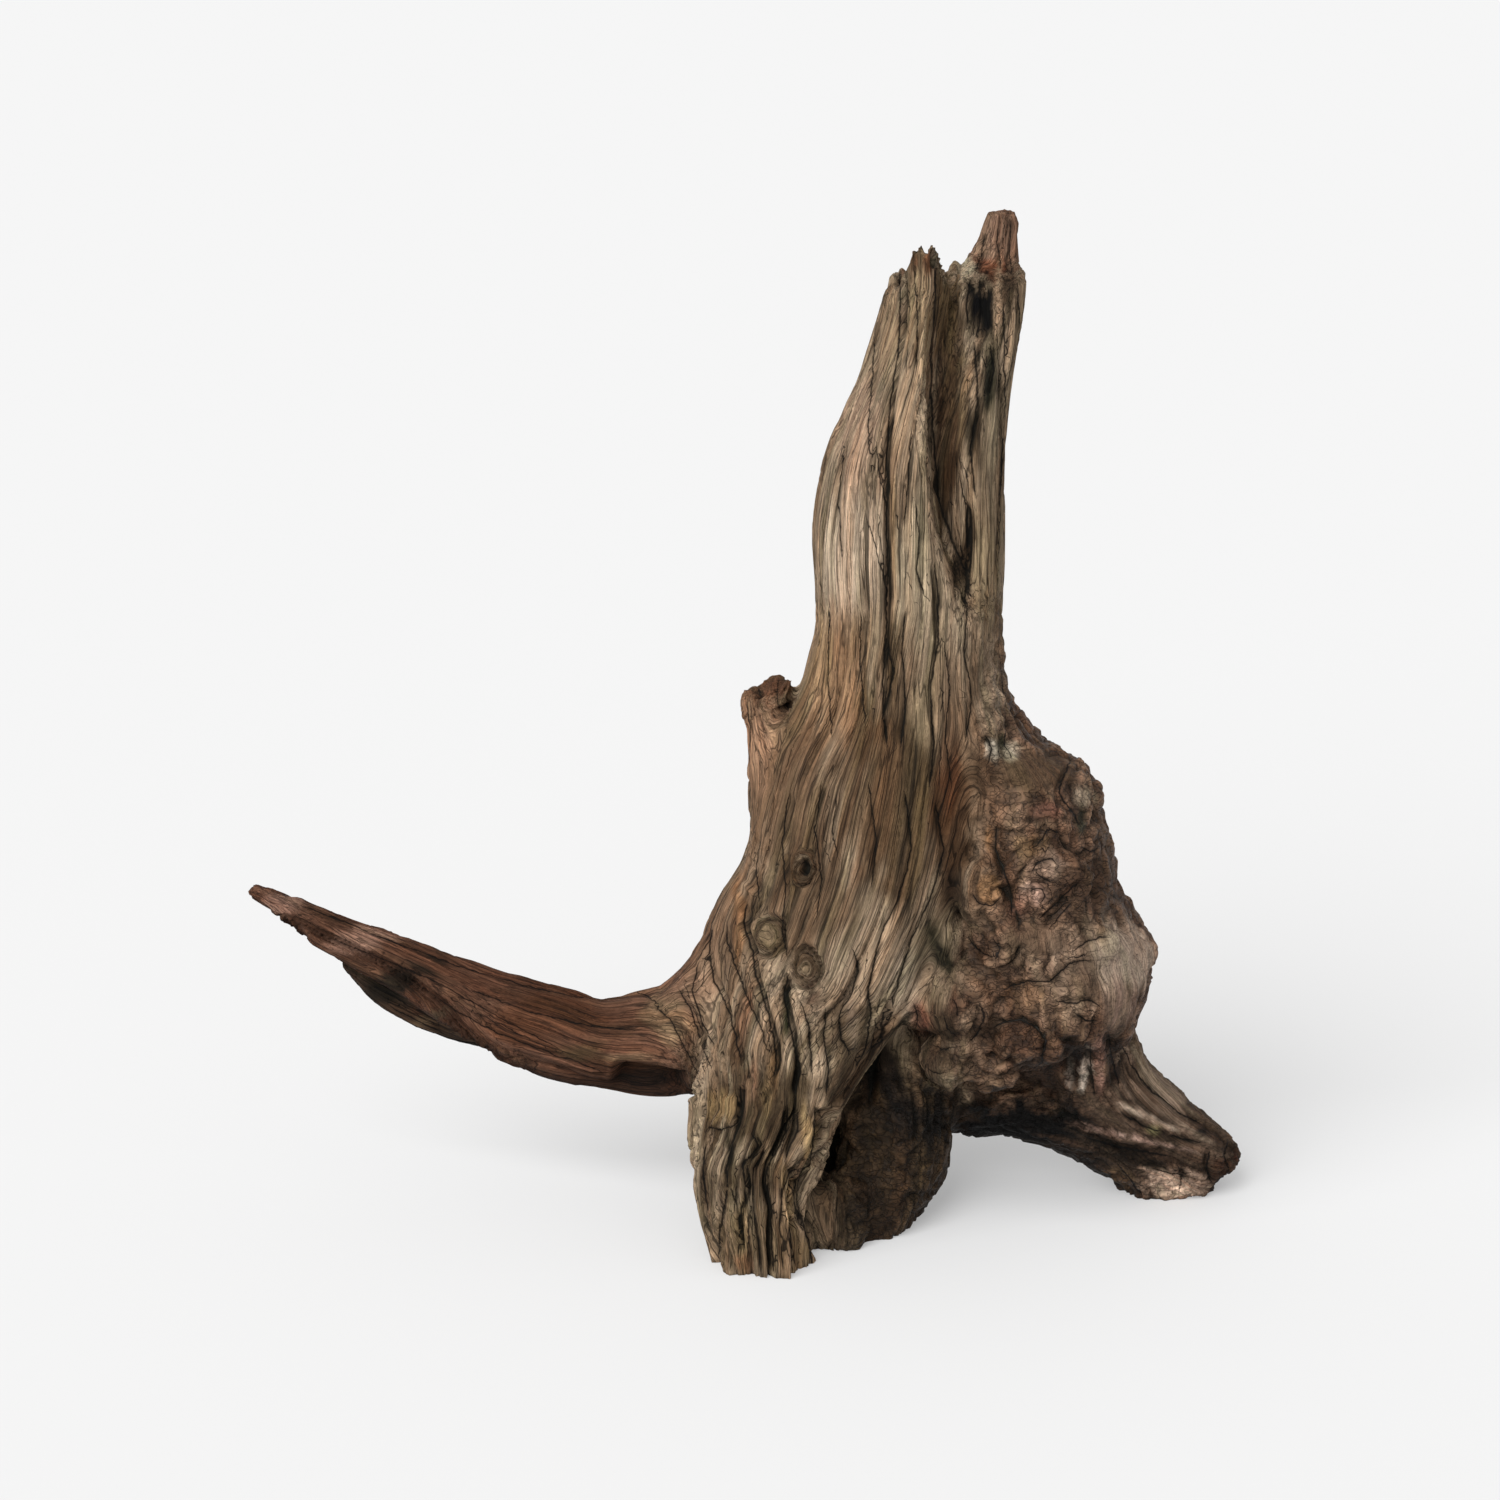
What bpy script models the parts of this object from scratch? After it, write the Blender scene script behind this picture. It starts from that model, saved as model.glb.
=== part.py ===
"""A weathered piece of driftwood: a hollow-topped stem on root feet, a long side root and a burl.

One grown body, so one solid. Limbs are lofted through hand-chosen sections, fused by a voxel
remesh, softened where they meet, furrowed along the grain by a formula, thinned to few faces
and cut flat where the feet stand. Sections are in millimetres, the scene is in metres, +Z is up.
"""

import math
from collections import namedtuple

import bmesh
import bpy
import numpy as np

MM = 0.001

# Overall sizes that the sections below add up to, in millimetres.
STEM_TOP = 399.0  # height of the stem where its broken rim begins
RIM_HEIGHT = 403.0  # mean height of the broken rim
PITH_DEPTH = 24.0  # how far the rotted middle sinks below the rim
FLOOR_BLOCK = (600.0, 400.0, 60.0)  # block that cuts the feet flat at z = 0

# How finely the wood is worked.
RINGS = 110  # sections along a limb
SIDES = 120  # points round a section
VOXEL = 1.8  # size of the cells that fuse the limbs
CLEAN_VOXEL = 1.6  # size of the cells that clean the furrowed skin
FILLET_PASSES = 12  # smoothing passes that round the crotches
FACES = 11700  # triangles kept in the finished solid

# grain: depth of the broad flutes, of the narrow furrows and of the burl's gnarls.
Limb = namedtuple("Limb", "level grain sections")

# A section is x, y, z of its centre, then its half width and its half depth.
# A level limb keeps its sections horizontal; any other turns them square to its path.
LIMBS = {
    "stem": Limb(True, (2.3, 1.9, 0.0), [
        (83.5, 13, STEM_TOP, 28.5, 24), (81, 12, 385, 29.5, 26), (76, 11, 365, 31.5, 28),
        (71, 10, 346, 34.5, 30), (67, 9, 325, 37.5, 33), (65, 7, 298, 39.5, 35),
        (65.5, 6, 268, 39, 37), (64, 5, 243, 41, 39), (62, 3, 221, 45.5, 42),
        (57, 0, 192, 50, 46), (49, -4, 157, 50.5, 48), (38, -9, 128, 48.5, 48),
        (27, -15, 103, 45.5, 47), (16, -24, 81, 38.5, 43), (8.5, -34, 60, 31.5, 38),
        (3.5, -43, 40, 28, 34), (3, -50, 20, 25.5, 31), (5, -54, 4, 22.5, 28), (6, -55, -12, 20.5, 27),
    ]),
    "lobe": Limb(True, (2.2, 0.8, 1.4), [
        (62, 6, 135, 20, 25), (58, 3, 105, 25, 28), (56, -3, 75, 27, 28), (55, -8, 50, 31, 30),
        (54, -12, 30, 33, 31), (51, -15, 12, 31, 31), (48, -17, 0, 27, 29), (46, -18, -12, 26, 28),
    ]),
    "side_root": Limb(False, (1.0, 0.8, 0.2), [
        (52, 0, 225, 22, 28), (40, -2, 172, 28, 34), (20, -4, 126, 34.5, 38), (-5, -4, 94, 28, 32),
        (-27, -1, 76, 24, 26), (-44, 1, 71.5, 23, 21), (-65, 3, 71, 19.5, 17), (-86, 6, 75.5, 20.5, 13),
        (-108, 9, 82, 18.5, 10), (-129.5, 12, 94.5, 13, 7.5), (-151, 15, 105, 10, 6),
        (-173, 18, 114, 8.6, 5), (-190, 19.5, 121.5, 8, 4), (-203, 21, 128.5, 5, 3.4),
        (-215.5, 22.5, 134, 2.8, 2.4),
    ]),
    "side_blade": Limb(False, (0.4, 0.6, 0.2), [
        (-50, 12, 64, 14, 10), (-65, 14, 62, 12, 10), (-87, 17, 65, 12, 8), (-109, 21, 69.5, 11, 6.5),
        (-129, 24, 73.5, 10.5, 5), (-144, 26, 78.5, 11, 4.4), (-159, 28, 86, 10, 3.8),
        (-168, 28.5, 91.5, 7, 3.2), (-178, 29, 98, 2.4, 2.2),
    ]),
    "burl": Limb(True, (0.8, 0.2, 2.3), [
        (90, 6, 262, 14, 22), (92, 6, 238, 15, 28), (97, 5, 219, 17, 34), (104, 4, 209, 20, 36),
        (111, 3, 196, 29, 38), (116, 0, 174, 34, 43), (119, -3, 150, 37.5, 46), (122, -5, 130, 42, 48),
        (126, -5, 112, 46.5, 49), (126, -4, 94, 42, 46), (125, 4, 76, 37, 37), (129, 10, 58, 28, 25),
    ]),
    "right_root": Limb(False, (1.9, 0.8, 0.9), [
        (105, 2, 175, 25, 30), (114, 2, 132, 34, 38), (126, 3, 96, 33, 36), (140, 5, 70, 27, 30),
        (156, 6, 48, 21, 25), (171, 8, 32, 20, 22), (182, 9, 17, 21, 19), (185, 9, 4, 20, 17.5),
        (185, 9, -10, 18, 16),
    ]),
    "arch": Limb(False, (1.6, 0.8, 1.2), [
        (58, 16, 66, 24, 26), (86, 14, 53, 26, 23), (118, 11, 44, 21.5, 22), (145, 9, 33, 18, 21),
        (164, 9, 21, 17, 19), (176, 9, 8, 16, 17), (180, 9, -8, 15, 16),
    ]),
    "back_root": Limb(True, (2.2, 1.5, 0.4), [
        (62, 8, 190, 30, 30), (58, 20, 150, 36, 32), (50, 32, 110, 34, 30), (40, 43, 72, 29, 26),
        (31, 53, 38, 25, 23), (27, 58, 12, 24, 22), (25, 60, -12, 22, 20),
    ]),
    "stub": Limb(True, (0.8, 0.8, 0.2), [
        (30, 2, 160, 29, 26), (22, 4, 190, 21, 22), (13, 9, 214, 14, 15), (9, 12, 225, 11, 12),
        (8.5, 12, 229, 9, 11),
    ]),
    "splinter": Limb(True, (0.4, 0.5, 0.0), [
        (93, 20, 370, 14, 9), (95, 21, 396, 13.5, 8.5), (98, 21.5, 406, 11.5, 7.5), (101.5, 22, 415, 8.4, 6.5),
        (102.5, 22, 422, 6.6, 5.4), (102.5, 22, 428, 5.4, 4.4),
    ]),
}

# Swellings of the burl, the two blunt ends of the stub, the lobe's toes and the right foot's tip:
# centre, then the three radii.
KNOBS = [
    (129, 2, 187, 20, 25, 15), (135, 0, 154, 22, 29, 16), (149, -4, 117, 24.5, 29, 17), (143, -7, 93, 25, 31, 20),
    (88, -40, 108, 18, 15, 18), (121, -41, 93, 21, 15, 15), (82, -36, 80, 12, 13, 12), (98, -38, 156, 12, 12, 17),
    (130, -38, 162, 14, 10, 14), (118, -32, 184, 17, 12, 13), (109, -43, 134, 15, 12, 15), (141, -38, 134, 15, 12, 12),
    (101, -38, 75, 13, 11, 9), (91, -36, 86, 11, 13, 11), (3.5, 12, 225, 6, 9, 6), (13.5, 12, 228, 6.5, 9, 6.5),
    (66, -8, 24, 21, 24, 20), (33, -42, 10, 18, 19, 24), (201, 9, 19, 16.5, 17, 13),
]

# Teeth of the broken rim: bearing in degrees (0 left, 90 back, -90 front), height, width in degrees.
RIM_TEETH = [
    (-58, 10, 34), (-35, 6, 9), (-67, 6, 9), (-88, 4, 6), (130, 8, 30), (172, 6, 12),
    (0, -4, 16), (40, 3, 9), (70, 6, 10), (100, 1, 12),
]

# The rotted channel that opens the stem's front, from its foot up to the rim.
CHANNEL_FOOT = 272.0
CHANNEL_RISE = 42.0  # height over which it deepens
CHANNEL_BEARING = -108.0
CHANNEL_HALF_ANGLE = 19.0
CHANNEL_DEPTH = 0.5  # share of the stem's radius

# Valleys and clefts in the front face: points x, z along each, then its half width and its depth.
CLEFTS = [
    ([(108, 196), (101, 176), (88, 150), (78, 124), (72, 100), (66, 78)], 6.5, 7.5),
    ([(-60, 67), (-42, 63), (-26, 60)], 6.0, 9.0),
    ([(93, 383), (90, 340), (86, 300)], 2.2, 3.0),
    ([(61, 378), (56, 350), (55, 300), (56, 250), (57, 215)], 1.8, 3.6),
    ([(17, 116), (19, 92), (18, 78)], 2.6, 5.0),
    ([(-1, 70), (-3, 55)], 3.4, 7.0),
    ([(31, 62), (27, 38), (24, 10)], 3.0, 8.0),
]

# Knots in the front face: x, z, radius, how far the collar stands out, how far the eye sinks.
KNOTS = [
    (22, 169, 7.5, 2.6, 7.0), (44, 168, 9.0, 2.4, 1.0), (8, 141, 8.5, 3.2, 1.5), (24, 130, 8.5, 4.0, 1.0),
]


def smooth_step(value, low, high):
    """0 below low, 1 above high, with a soft passage between."""
    share = np.clip((value - low) / (high - low), 0.0, 1.0)
    return share * share * (3.0 - 2.0 * share)


def bell(value, width):
    return np.exp(-((value / width) ** 2))


def turned(bearing, centre):
    """Bearing from centre, in degrees within half a turn."""
    return (bearing - centre + 180.0) % 360.0 - 180.0


def lattice(x, y, z, seed):
    """A fixed number from -1 to 1 for each whole-number point."""
    bits = (x * 374761393 + y * 668265263 + z * 1274126177 + seed * 974634777) & 0xFFFFFFFF
    bits = ((bits ^ (bits >> 13)) * 1103515245) & 0xFFFFFFFF
    bits = ((bits ^ (bits >> 15)) * 2246822519) & 0xFFFFFFFF
    return ((bits ^ (bits >> 16)) & 0xFFFFFF) / float(0x800000) - 1.0


def noise(points, seed):
    """Smooth noise from -1 to 1, one lump to a unit cell."""
    cell = np.floor(points).astype(np.int64)
    part = points - cell
    part = part**3 * (part * (6.0 * part - 15.0) + 10.0)
    total = np.zeros(len(points))
    for corner in range(8):
        step = np.array([corner & 1, corner >> 1 & 1, corner >> 2])
        share = np.prod(np.where(step == 1, part, 1.0 - part), axis=1)
        total += share * lattice(*(cell + step).T, seed)
    return total


def blended(sections, count):
    """Sections on a Catmull-Rom curve through the given ones, evenly spaced, and the distance run."""
    rows = np.array(sections, float)
    held = np.vstack([2 * rows[0] - rows[1], rows, 2 * rows[-1] - rows[-2]])
    share = np.linspace(0.0, 1.0, 16, endpoint=False)[:, None]
    fine = []
    for before, start, end, after in zip(held, held[1:], held[2:], held[3:]):
        fine.append(0.5 * (2 * start + (end - before) * share
                           + (2 * before - 5 * start + 4 * end - after) * share**2
                           + (3 * start - before - 3 * end + after) * share**3))
    fine = np.vstack([*fine, rows[-1:]])
    steps = np.linalg.norm(np.diff(fine[:, :3], axis=0), axis=1)
    run = np.concatenate([[0.0], np.cumsum(steps)])
    even = np.linspace(0.0, run[-1], count)
    return np.stack([np.interp(even, run, column) for column in fine.T], axis=1), even


def axes_along(centres, level):
    """Unit vectors along the path, across it in its width and across it in its depth."""
    along = np.gradient(centres, axis=0)
    along /= np.linalg.norm(along, axis=1)[:, None]
    if level:
        return along, np.tile([-1.0, 0.0, 0.0], (len(centres), 1)), np.tile([0.0, 1.0, 0.0], (len(centres), 1))
    across = np.cross([0.0, 1.0, 0.0], along)
    across /= np.linalg.norm(across, axis=1)[:, None]
    return along, across, np.cross(along, across)


def stem_outline(height, bearing):
    """The stem's radius as a share of its plain section: the open channel, its lip and the flutes."""
    opened = smooth_step(height, CHANNEL_FOOT, CHANNEL_FOOT + CHANNEL_RISE)
    centre = CHANNEL_BEARING - 12.0 * np.clip((335.0 - height) / 60.0, 0.0, 1.0)
    away = turned(bearing, centre)
    floor = 1.0 / (1.0 + np.exp((np.abs(away) - CHANNEL_HALF_ANGLE) / 2.2))
    lip = bell(turned(bearing, centre + CHANNEL_HALF_ANGLE + 9.0), 8.0)
    turn = np.radians(bearing)
    flutes = 0.03 * np.sin(7 * turn + height / 45.0) * smooth_step(height, 180.0, 240.0)
    flutes = flutes + 0.02 * np.sin(12 * turn - height / 60.0 + 2.0)
    return 1.0 - CHANNEL_DEPTH * opened * floor + 0.05 * opened * lip + flutes


def rim_height(bearing):
    """Height of the broken rim, tooth by tooth."""
    height = RIM_HEIGHT + 1.6 * np.sin(17 * np.radians(bearing) + 1.0) * np.sin(5 * np.radians(bearing))
    for centre, rise, width in RIM_TEETH:
        height = height + rise * bell(turned(bearing, centre), width)
    return height


def broken_top(ring, centre, bearing):
    """Rings from the bottom of the rotted pith up its wall to the teeth, in place of a flat end."""
    rings = []
    for share, drop, torn in ((0.04, PITH_DEPTH + 2, 0.0), (0.35, PITH_DEPTH - 2, 0.0), (0.62, 14.0, 0.4),
                              (0.80, 5.0, 0.8), (0.93, 1.0, 1.0), (1.0, 3.0, 1.0)):
        level = centre + (ring - centre) * share
        level[:, 2] = RIM_HEIGHT - drop + (rim_height(bearing) - RIM_HEIGHT) * torn
        rings.append(level)
    return rings


def limb_rings(name):
    """The limb's rings of points, in order along it."""
    limb = LIMBS[name]
    rows, _ = blended(limb.sections, RINGS)
    _, across, deep = axes_along(rows[:, :3], limb.level)
    turn = np.linspace(0.0, 2 * math.pi, SIDES, endpoint=False)
    share = np.ones((RINGS, SIDES))
    if name == "stem":
        share = stem_outline(rows[:, 2:3], np.degrees(turn)[None])
    wide = (rows[:, 3:4] * np.cos(turn) * share)[..., None] * across[:, None]
    thick = (rows[:, 4:5] * np.sin(turn) * share)[..., None] * deep[:, None]
    rings = list(rows[:, None, :3] + wide + thick)
    if name == "stem":
        rings = broken_top(rings[0], rows[0, :3], np.degrees(turn)) + rings[1:]
    return rings


def add_limb(bm, name):
    """Skins a limb's rings with quads and closes both ends."""
    loops = [[bm.verts.new(point * MM) for point in ring] for ring in limb_rings(name)]
    for near, far in zip(loops, loops[1:]):
        for i in range(SIDES):
            j = (i + 1) % SIDES
            bm.faces.new((near[i], near[j], far[j], far[i]))
    bm.faces.new(reversed(loops[0]))
    bm.faces.new(loops[-1])


def add_knob(bm, knob):
    """Adds a swelling as a ball stretched to its three radii."""
    made = bmesh.ops.create_icosphere(bm, subdivisions=4, radius=1.0)
    for vert in made["verts"]:
        vert.co = [(centre + radius * unit) * MM for centre, radius, unit in zip(knob, knob[3:], vert.co)]


def limb_places(points, name):
    """Each point's place on a limb: across it, deep in it, along it, and how far out of it."""
    limb = LIMBS[name]
    rows, run = blended(limb.sections, RINGS)
    along, across, deep = axes_along(rows[:, :3], limb.level)
    nearest = ((rows[:, :3] ** 2).sum(axis=1) - 2.0 * points @ rows[:, :3].T).argmin(axis=1)
    offset = points - rows[nearest, :3]
    between = np.clip((offset * along[nearest]).sum(axis=1) / run[1], -0.5, 0.5)
    place = np.clip(nearest + between, 0, RINGS - 1)

    def at(table):
        return np.stack([np.interp(place, np.arange(RINGS), column) for column in table.T], axis=1)

    here, ahead, side, back = at(rows), at(along), at(across), at(deep)
    offset = points - here[:, :3]
    u, v, past = ((offset * axis).sum(axis=1) for axis in (side, back, ahead))
    beyond = np.maximum(np.abs(past) - run[1], 0.0) / 12.0
    outness = np.sqrt((u / here[:, 3]) ** 2 + (v / here[:, 4]) ** 2 + beyond**2)
    return u, v, place * run[1] + past, outness


def grain_of(points):
    """The points carried back to the straight-grained wood, the grain depths there and each limb's share."""
    stem, _ = blended(LIMBS["stem"].sections, RINGS)
    straight, depths, shares = 0.0, 0.0, {}
    for name, limb in LIMBS.items():
        u, v, s, outness = limb_places(points, name)
        x, y, z = limb.sections[0][:3]
        home_x = np.interp(z, stem[::-1, 2], stem[::-1, 0])
        home_y = np.interp(z, stem[::-1, 2], stem[::-1, 1])
        share = (outness + 0.05) ** -8
        shares[name] = share
        straight = straight + share[:, None] * np.stack([u - x + home_x, v + y - home_y, s + STEM_TOP - z], axis=1)
        depths = depths + share[:, None] * np.array(limb.grain)
    total = sum(shares.values())
    return straight / total[:, None], depths / total[:, None], {n: w / total for n, w in shares.items()}


def distance_to_line(x, z, line):
    """Distance from each point to a line of straight runs, all in the front view."""
    nearest = np.full(len(x), np.inf)
    for (x0, z0), (x1, z1) in zip(line, line[1:]):
        dx, dz = x1 - x0, z1 - z0
        share = np.clip(((x - x0) * dx + (z - z0) * dz) / (dx * dx + dz * dz), 0.0, 1.0)
        nearest = np.minimum(nearest, np.hypot(x - x0 - share * dx, z - z0 - share * dz))
    return nearest


def front_marks(points, normals):
    """Height of the clefts and knots, which lie on the face that looks along -Y."""
    facing = smooth_step(-normals[:, 1], 0.05, 0.45)
    x, z = points[:, 0], points[:, 2]
    height = np.zeros(len(points))
    for line, width, depth in CLEFTS:
        height -= depth * bell(distance_to_line(x, z, line), width)
    for knot_x, knot_z, radius, collar, eye in KNOTS:
        away = np.hypot(x - knot_x, (z - knot_z) * 0.8) / radius
        height += collar * bell(away - 0.75, 0.4) - eye * bell(away, 0.42)
    return height * facing


def relief(points, normals):
    """How far the weathered skin stands above the plain limbs: flutes, furrows, laminae and gnarls."""
    straight, depths, shares = grain_of(points)
    flute, furrow, gnarl = depths.T
    low, forward = 1.0 - smooth_step(points[:, 2], 70.0, 125.0), 1.0 - smooth_step(points[:, 1], -20.0, 0.0)
    foot = shares["stem"] * low * forward
    bent = np.stack([noise(straight / [30, 30, 55], 1), noise(straight / [30, 30, 55], 2), 0 * foot], axis=1)
    fibre = straight + 5.0 * bent
    height = 1.3 * flute * noise(fibre / [17, 17, 130], 5)
    height -= (furrow + 4.2 * foot) * bell(noise(fibre / [6.5, 6.5, 95], 6), 0.2)
    height += (furrow + 2.4 * foot) * noise(fibre / [9, 9, 90], 8)
    lump = points / 17.0
    swirl = np.stack([noise(lump, 11), noise(lump, 12), noise(lump, 13)], axis=1)
    height += gnarl * (1.3 * noise(lump + 0.9 * swirl, 14) - 0.3)
    height -= gnarl * 0.8 * bell(noise(points / 14.0 + 0.9 * swirl, 19), 0.22)
    return height + front_marks(points, normals)


def applied(obj, kind, **settings):
    """Runs one modifier on the object and keeps its result as the object's mesh."""
    modifier = obj.modifiers.new(kind.title(), kind)
    for name, value in settings.items():
        setattr(modifier, name, value)
    graph = bpy.context.evaluated_depsgraph_get()
    mesh = bpy.data.meshes.new_from_object(obj.evaluated_get(graph))
    obj.modifiers.clear()
    obj.data = mesh
    return mesh


def mesh_points(mesh):
    points = np.empty(len(mesh.vertices) * 3, np.float32)
    mesh.vertices.foreach_get("co", points)
    return points.reshape(-1, 3).astype(float) / MM


def mesh_normals(mesh):
    normals = np.empty(len(mesh.vertices) * 3, np.float32)
    mesh.vertex_normals.foreach_get("vector", normals)
    return normals.reshape(-1, 3).astype(float)


def soften_crotches(obj):
    """Rounds the seams between limbs, and leaves the thin tips and the torn rim as they are."""
    points = mesh_points(obj.data)
    _, _, shares = grain_of(points)
    thin = shares["side_root"] * smooth_step(-points[:, 0], 60.0, 120.0) + shares["side_blade"]
    thin = thin + shares["splinter"] + shares["stem"] * smooth_step(points[:, 2], 380.0, 395.0)
    group = obj.vertex_groups.new(name="thick")
    for index, weight in enumerate(1.0 - 0.9 * np.clip(thin, 0.0, 1.0)):
        group.add([index], weight, "REPLACE")
    applied(obj, "SMOOTH", factor=0.6, iterations=FILLET_PASSES, vertex_group="thick")


def carve_grain(obj):
    """Moves each vertex along its normal by the relief."""
    mesh = obj.data
    points, normals = mesh_points(mesh), mesh_normals(mesh)
    points += normals * relief(points, normals)[:, None]
    mesh.vertices.foreach_set("co", (points * MM).astype(np.float32).ravel())
    mesh.update()


def floor_cutter():
    """The block under the floor that takes the ends off the feet."""
    bm = bmesh.new()
    bmesh.ops.create_cube(bm, size=1.0)
    bmesh.ops.scale(bm, verts=bm.verts, vec=[side * MM for side in FLOOR_BLOCK])
    bmesh.ops.translate(bm, verts=bm.verts, vec=(0, 0, -FLOOR_BLOCK[2] * MM / 2))
    mesh = bpy.data.meshes.new("floor_cutter")
    bm.to_mesh(mesh)
    bm.free()
    cutter = bpy.data.objects.new("floor_cutter", mesh)
    cutter.hide_render = True
    cutter.display_type = "WIRE"
    bpy.context.scene.collection.objects.link(cutter)
    return cutter


def weathered_wood():
    """Brown-grey wood with no finish left on it."""
    material = bpy.data.materials.new("weathered_wood")
    material.use_nodes = True
    shader = material.node_tree.nodes["Principled BSDF"]
    shader.inputs["Base Color"].default_value = (0.16, 0.105, 0.07, 1.0)
    shader.inputs["Roughness"].default_value = 0.85
    shader.inputs["Metallic"].default_value = 0.0
    return material


def driftwood():
    """The whole piece, from its limbs to its flat-cut feet."""
    bm = bmesh.new()
    for name in LIMBS:
        add_limb(bm, name)
    for knob in KNOBS:
        add_knob(bm, knob)
    bmesh.ops.recalc_face_normals(bm, faces=bm.faces)
    mesh = bpy.data.meshes.new("driftwood")
    bm.to_mesh(mesh)
    bm.free()
    obj = bpy.data.objects.new("driftwood", mesh)
    bpy.context.scene.collection.objects.link(obj)
    applied(obj, "REMESH", mode="VOXEL", voxel_size=VOXEL * MM)
    soften_crotches(obj)
    carve_grain(obj)
    applied(obj, "REMESH", mode="VOXEL", voxel_size=CLEAN_VOXEL * MM)
    applied(obj, "TRIANGULATE")
    applied(obj, "DECIMATE", ratio=FACES / len(obj.data.polygons))
    flat = obj.modifiers.new("Flat feet", "BOOLEAN")
    flat.operation = "DIFFERENCE"
    flat.solver = "EXACT"
    flat.object = floor_cutter()
    obj.data.materials.append(weathered_wood())
    return obj


def main():
    for obj in list(bpy.data.objects):
        bpy.data.objects.remove(obj, do_unlink=True)
    driftwood()


if __name__ == "__main__":
    main()
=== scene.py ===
"""The weathered driftwood root: its wood skin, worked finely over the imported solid, and its studio.

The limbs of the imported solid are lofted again, fused in smaller cells and furrowed by the same
formula with finer terms added. Lengths are millimetres until a mesh is written, +Z is up and the
front looks along -Y.
"""

import logging
import math
from dataclasses import dataclass, field
from enum import Enum

import bmesh
import bpy
import numpy as np
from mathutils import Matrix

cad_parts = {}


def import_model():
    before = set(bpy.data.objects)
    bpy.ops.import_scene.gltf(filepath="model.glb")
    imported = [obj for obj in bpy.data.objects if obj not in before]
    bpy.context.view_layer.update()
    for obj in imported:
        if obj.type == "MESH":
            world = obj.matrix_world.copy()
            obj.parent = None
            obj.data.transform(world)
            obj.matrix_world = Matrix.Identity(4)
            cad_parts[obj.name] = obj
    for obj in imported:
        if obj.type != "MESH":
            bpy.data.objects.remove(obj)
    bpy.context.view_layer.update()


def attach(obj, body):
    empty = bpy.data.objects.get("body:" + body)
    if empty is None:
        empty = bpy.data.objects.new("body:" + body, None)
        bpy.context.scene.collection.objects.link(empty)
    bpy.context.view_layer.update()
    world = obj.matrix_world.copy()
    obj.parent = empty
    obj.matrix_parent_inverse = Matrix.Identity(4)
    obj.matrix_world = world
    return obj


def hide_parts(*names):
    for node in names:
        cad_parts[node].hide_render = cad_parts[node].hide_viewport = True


logging.basicConfig(level=logging.INFO, format="%(message)s")
LOG = logging.getLogger("driftwood")

MM = 0.001
PACE = 0.6
Array = np.ndarray
Colour = tuple[float, float, float]
Socket = bpy.types.NodeSocket
Tint = tuple[float, float, float, float]


def smooth_step(value: Array, low: float, high: float) -> Array:
    """0 below low, 1 above high, with the cubic 3t^2 - 2t^3 between."""
    share = np.clip((value - low) / (high - low), 0.0, 1.0)
    return share * share * (3.0 - 2.0 * share)


def bell(value: Array, width: float) -> Array:
    """The bell curve exp(-(value / width)^2)."""
    return np.exp(-((value / width) ** 2))


def turned(bearing: Array, centre: float | Array) -> Array:
    """Bearing from centre, in degrees within half a turn."""
    return (bearing - centre + 180.0) % 360.0 - 180.0


def lattice(x: Array, y: Array, z: Array, seed: int) -> Array:
    """A fixed number from -1 to 1 for each whole-number point, from 32-bit integer hashing.

    Args:
        x: First number of each point, 32 bits wide and unsigned, as the other two are.
        y: Second number of each point.
        z: Third number of each point.
        seed: Which set of values to read.

    Returns:
        One value for each point.
    """
    bits = x * np.uint32(374761393) + y * np.uint32(668265263) + z * np.uint32(1274126177)
    bits = bits + np.uint32(seed * 974634777 & 0xFFFFFFFF)
    bits = (bits ^ (bits >> np.uint32(13))) * np.uint32(1103515245)
    bits = (bits ^ (bits >> np.uint32(15))) * np.uint32(2246822519)
    return ((bits ^ (bits >> np.uint32(16))) & np.uint32(0xFFFFFF)).astype(np.float32) / 8388608.0 - 1.0


def noise(points: Array, seed: int) -> Array:
    """Smooth noise from -1 to 1, one lump to a unit cell: eight corner values blended by a quintic.

    Args:
        points: Places, one row each, in cells.
        seed: Which noise to read.

    Returns:
        One value for each place.
    """
    cell = np.floor(points)
    part = (points - cell).astype(np.float32)
    part = part * part * part * (part * (6.0 * part - 15.0) + 10.0)
    low = cell.astype(np.int64).astype(np.uint32)
    high = low + np.uint32(1)
    total = np.zeros(len(points), np.float32)
    for corner in range(8):
        ends = [(high if corner >> axis & 1 else low)[:, axis] for axis in range(3)]
        shares = [part[:, axis] if corner >> axis & 1 else 1.0 - part[:, axis] for axis in range(3)]
        total += shares[0] * shares[1] * shares[2] * lattice(*ends, seed)
    return total


def cells(points: Array, wide: float, long: float) -> Array:
    """Grain coordinates counted in cells that are wide across the grain and long along it."""
    return points / np.array([wide, wide, long], np.float32)


class Posture(Enum):
    """How the sections of a limb stand."""

    LEVEL = "horizontal, whatever way the limb leans"
    SQUARE = "square to the limb's path"


@dataclass(frozen=True)
class Grain:
    """How deep each kind of mark goes on a limb, in millimetres."""

    flute: float
    furrow: float
    gnarl: float
    check: float
    crinkle: float

    def row(self) -> list[float]:
        """The five depths in order."""
        return [self.flute, self.furrow, self.gnarl, self.check, self.crinkle]


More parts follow.
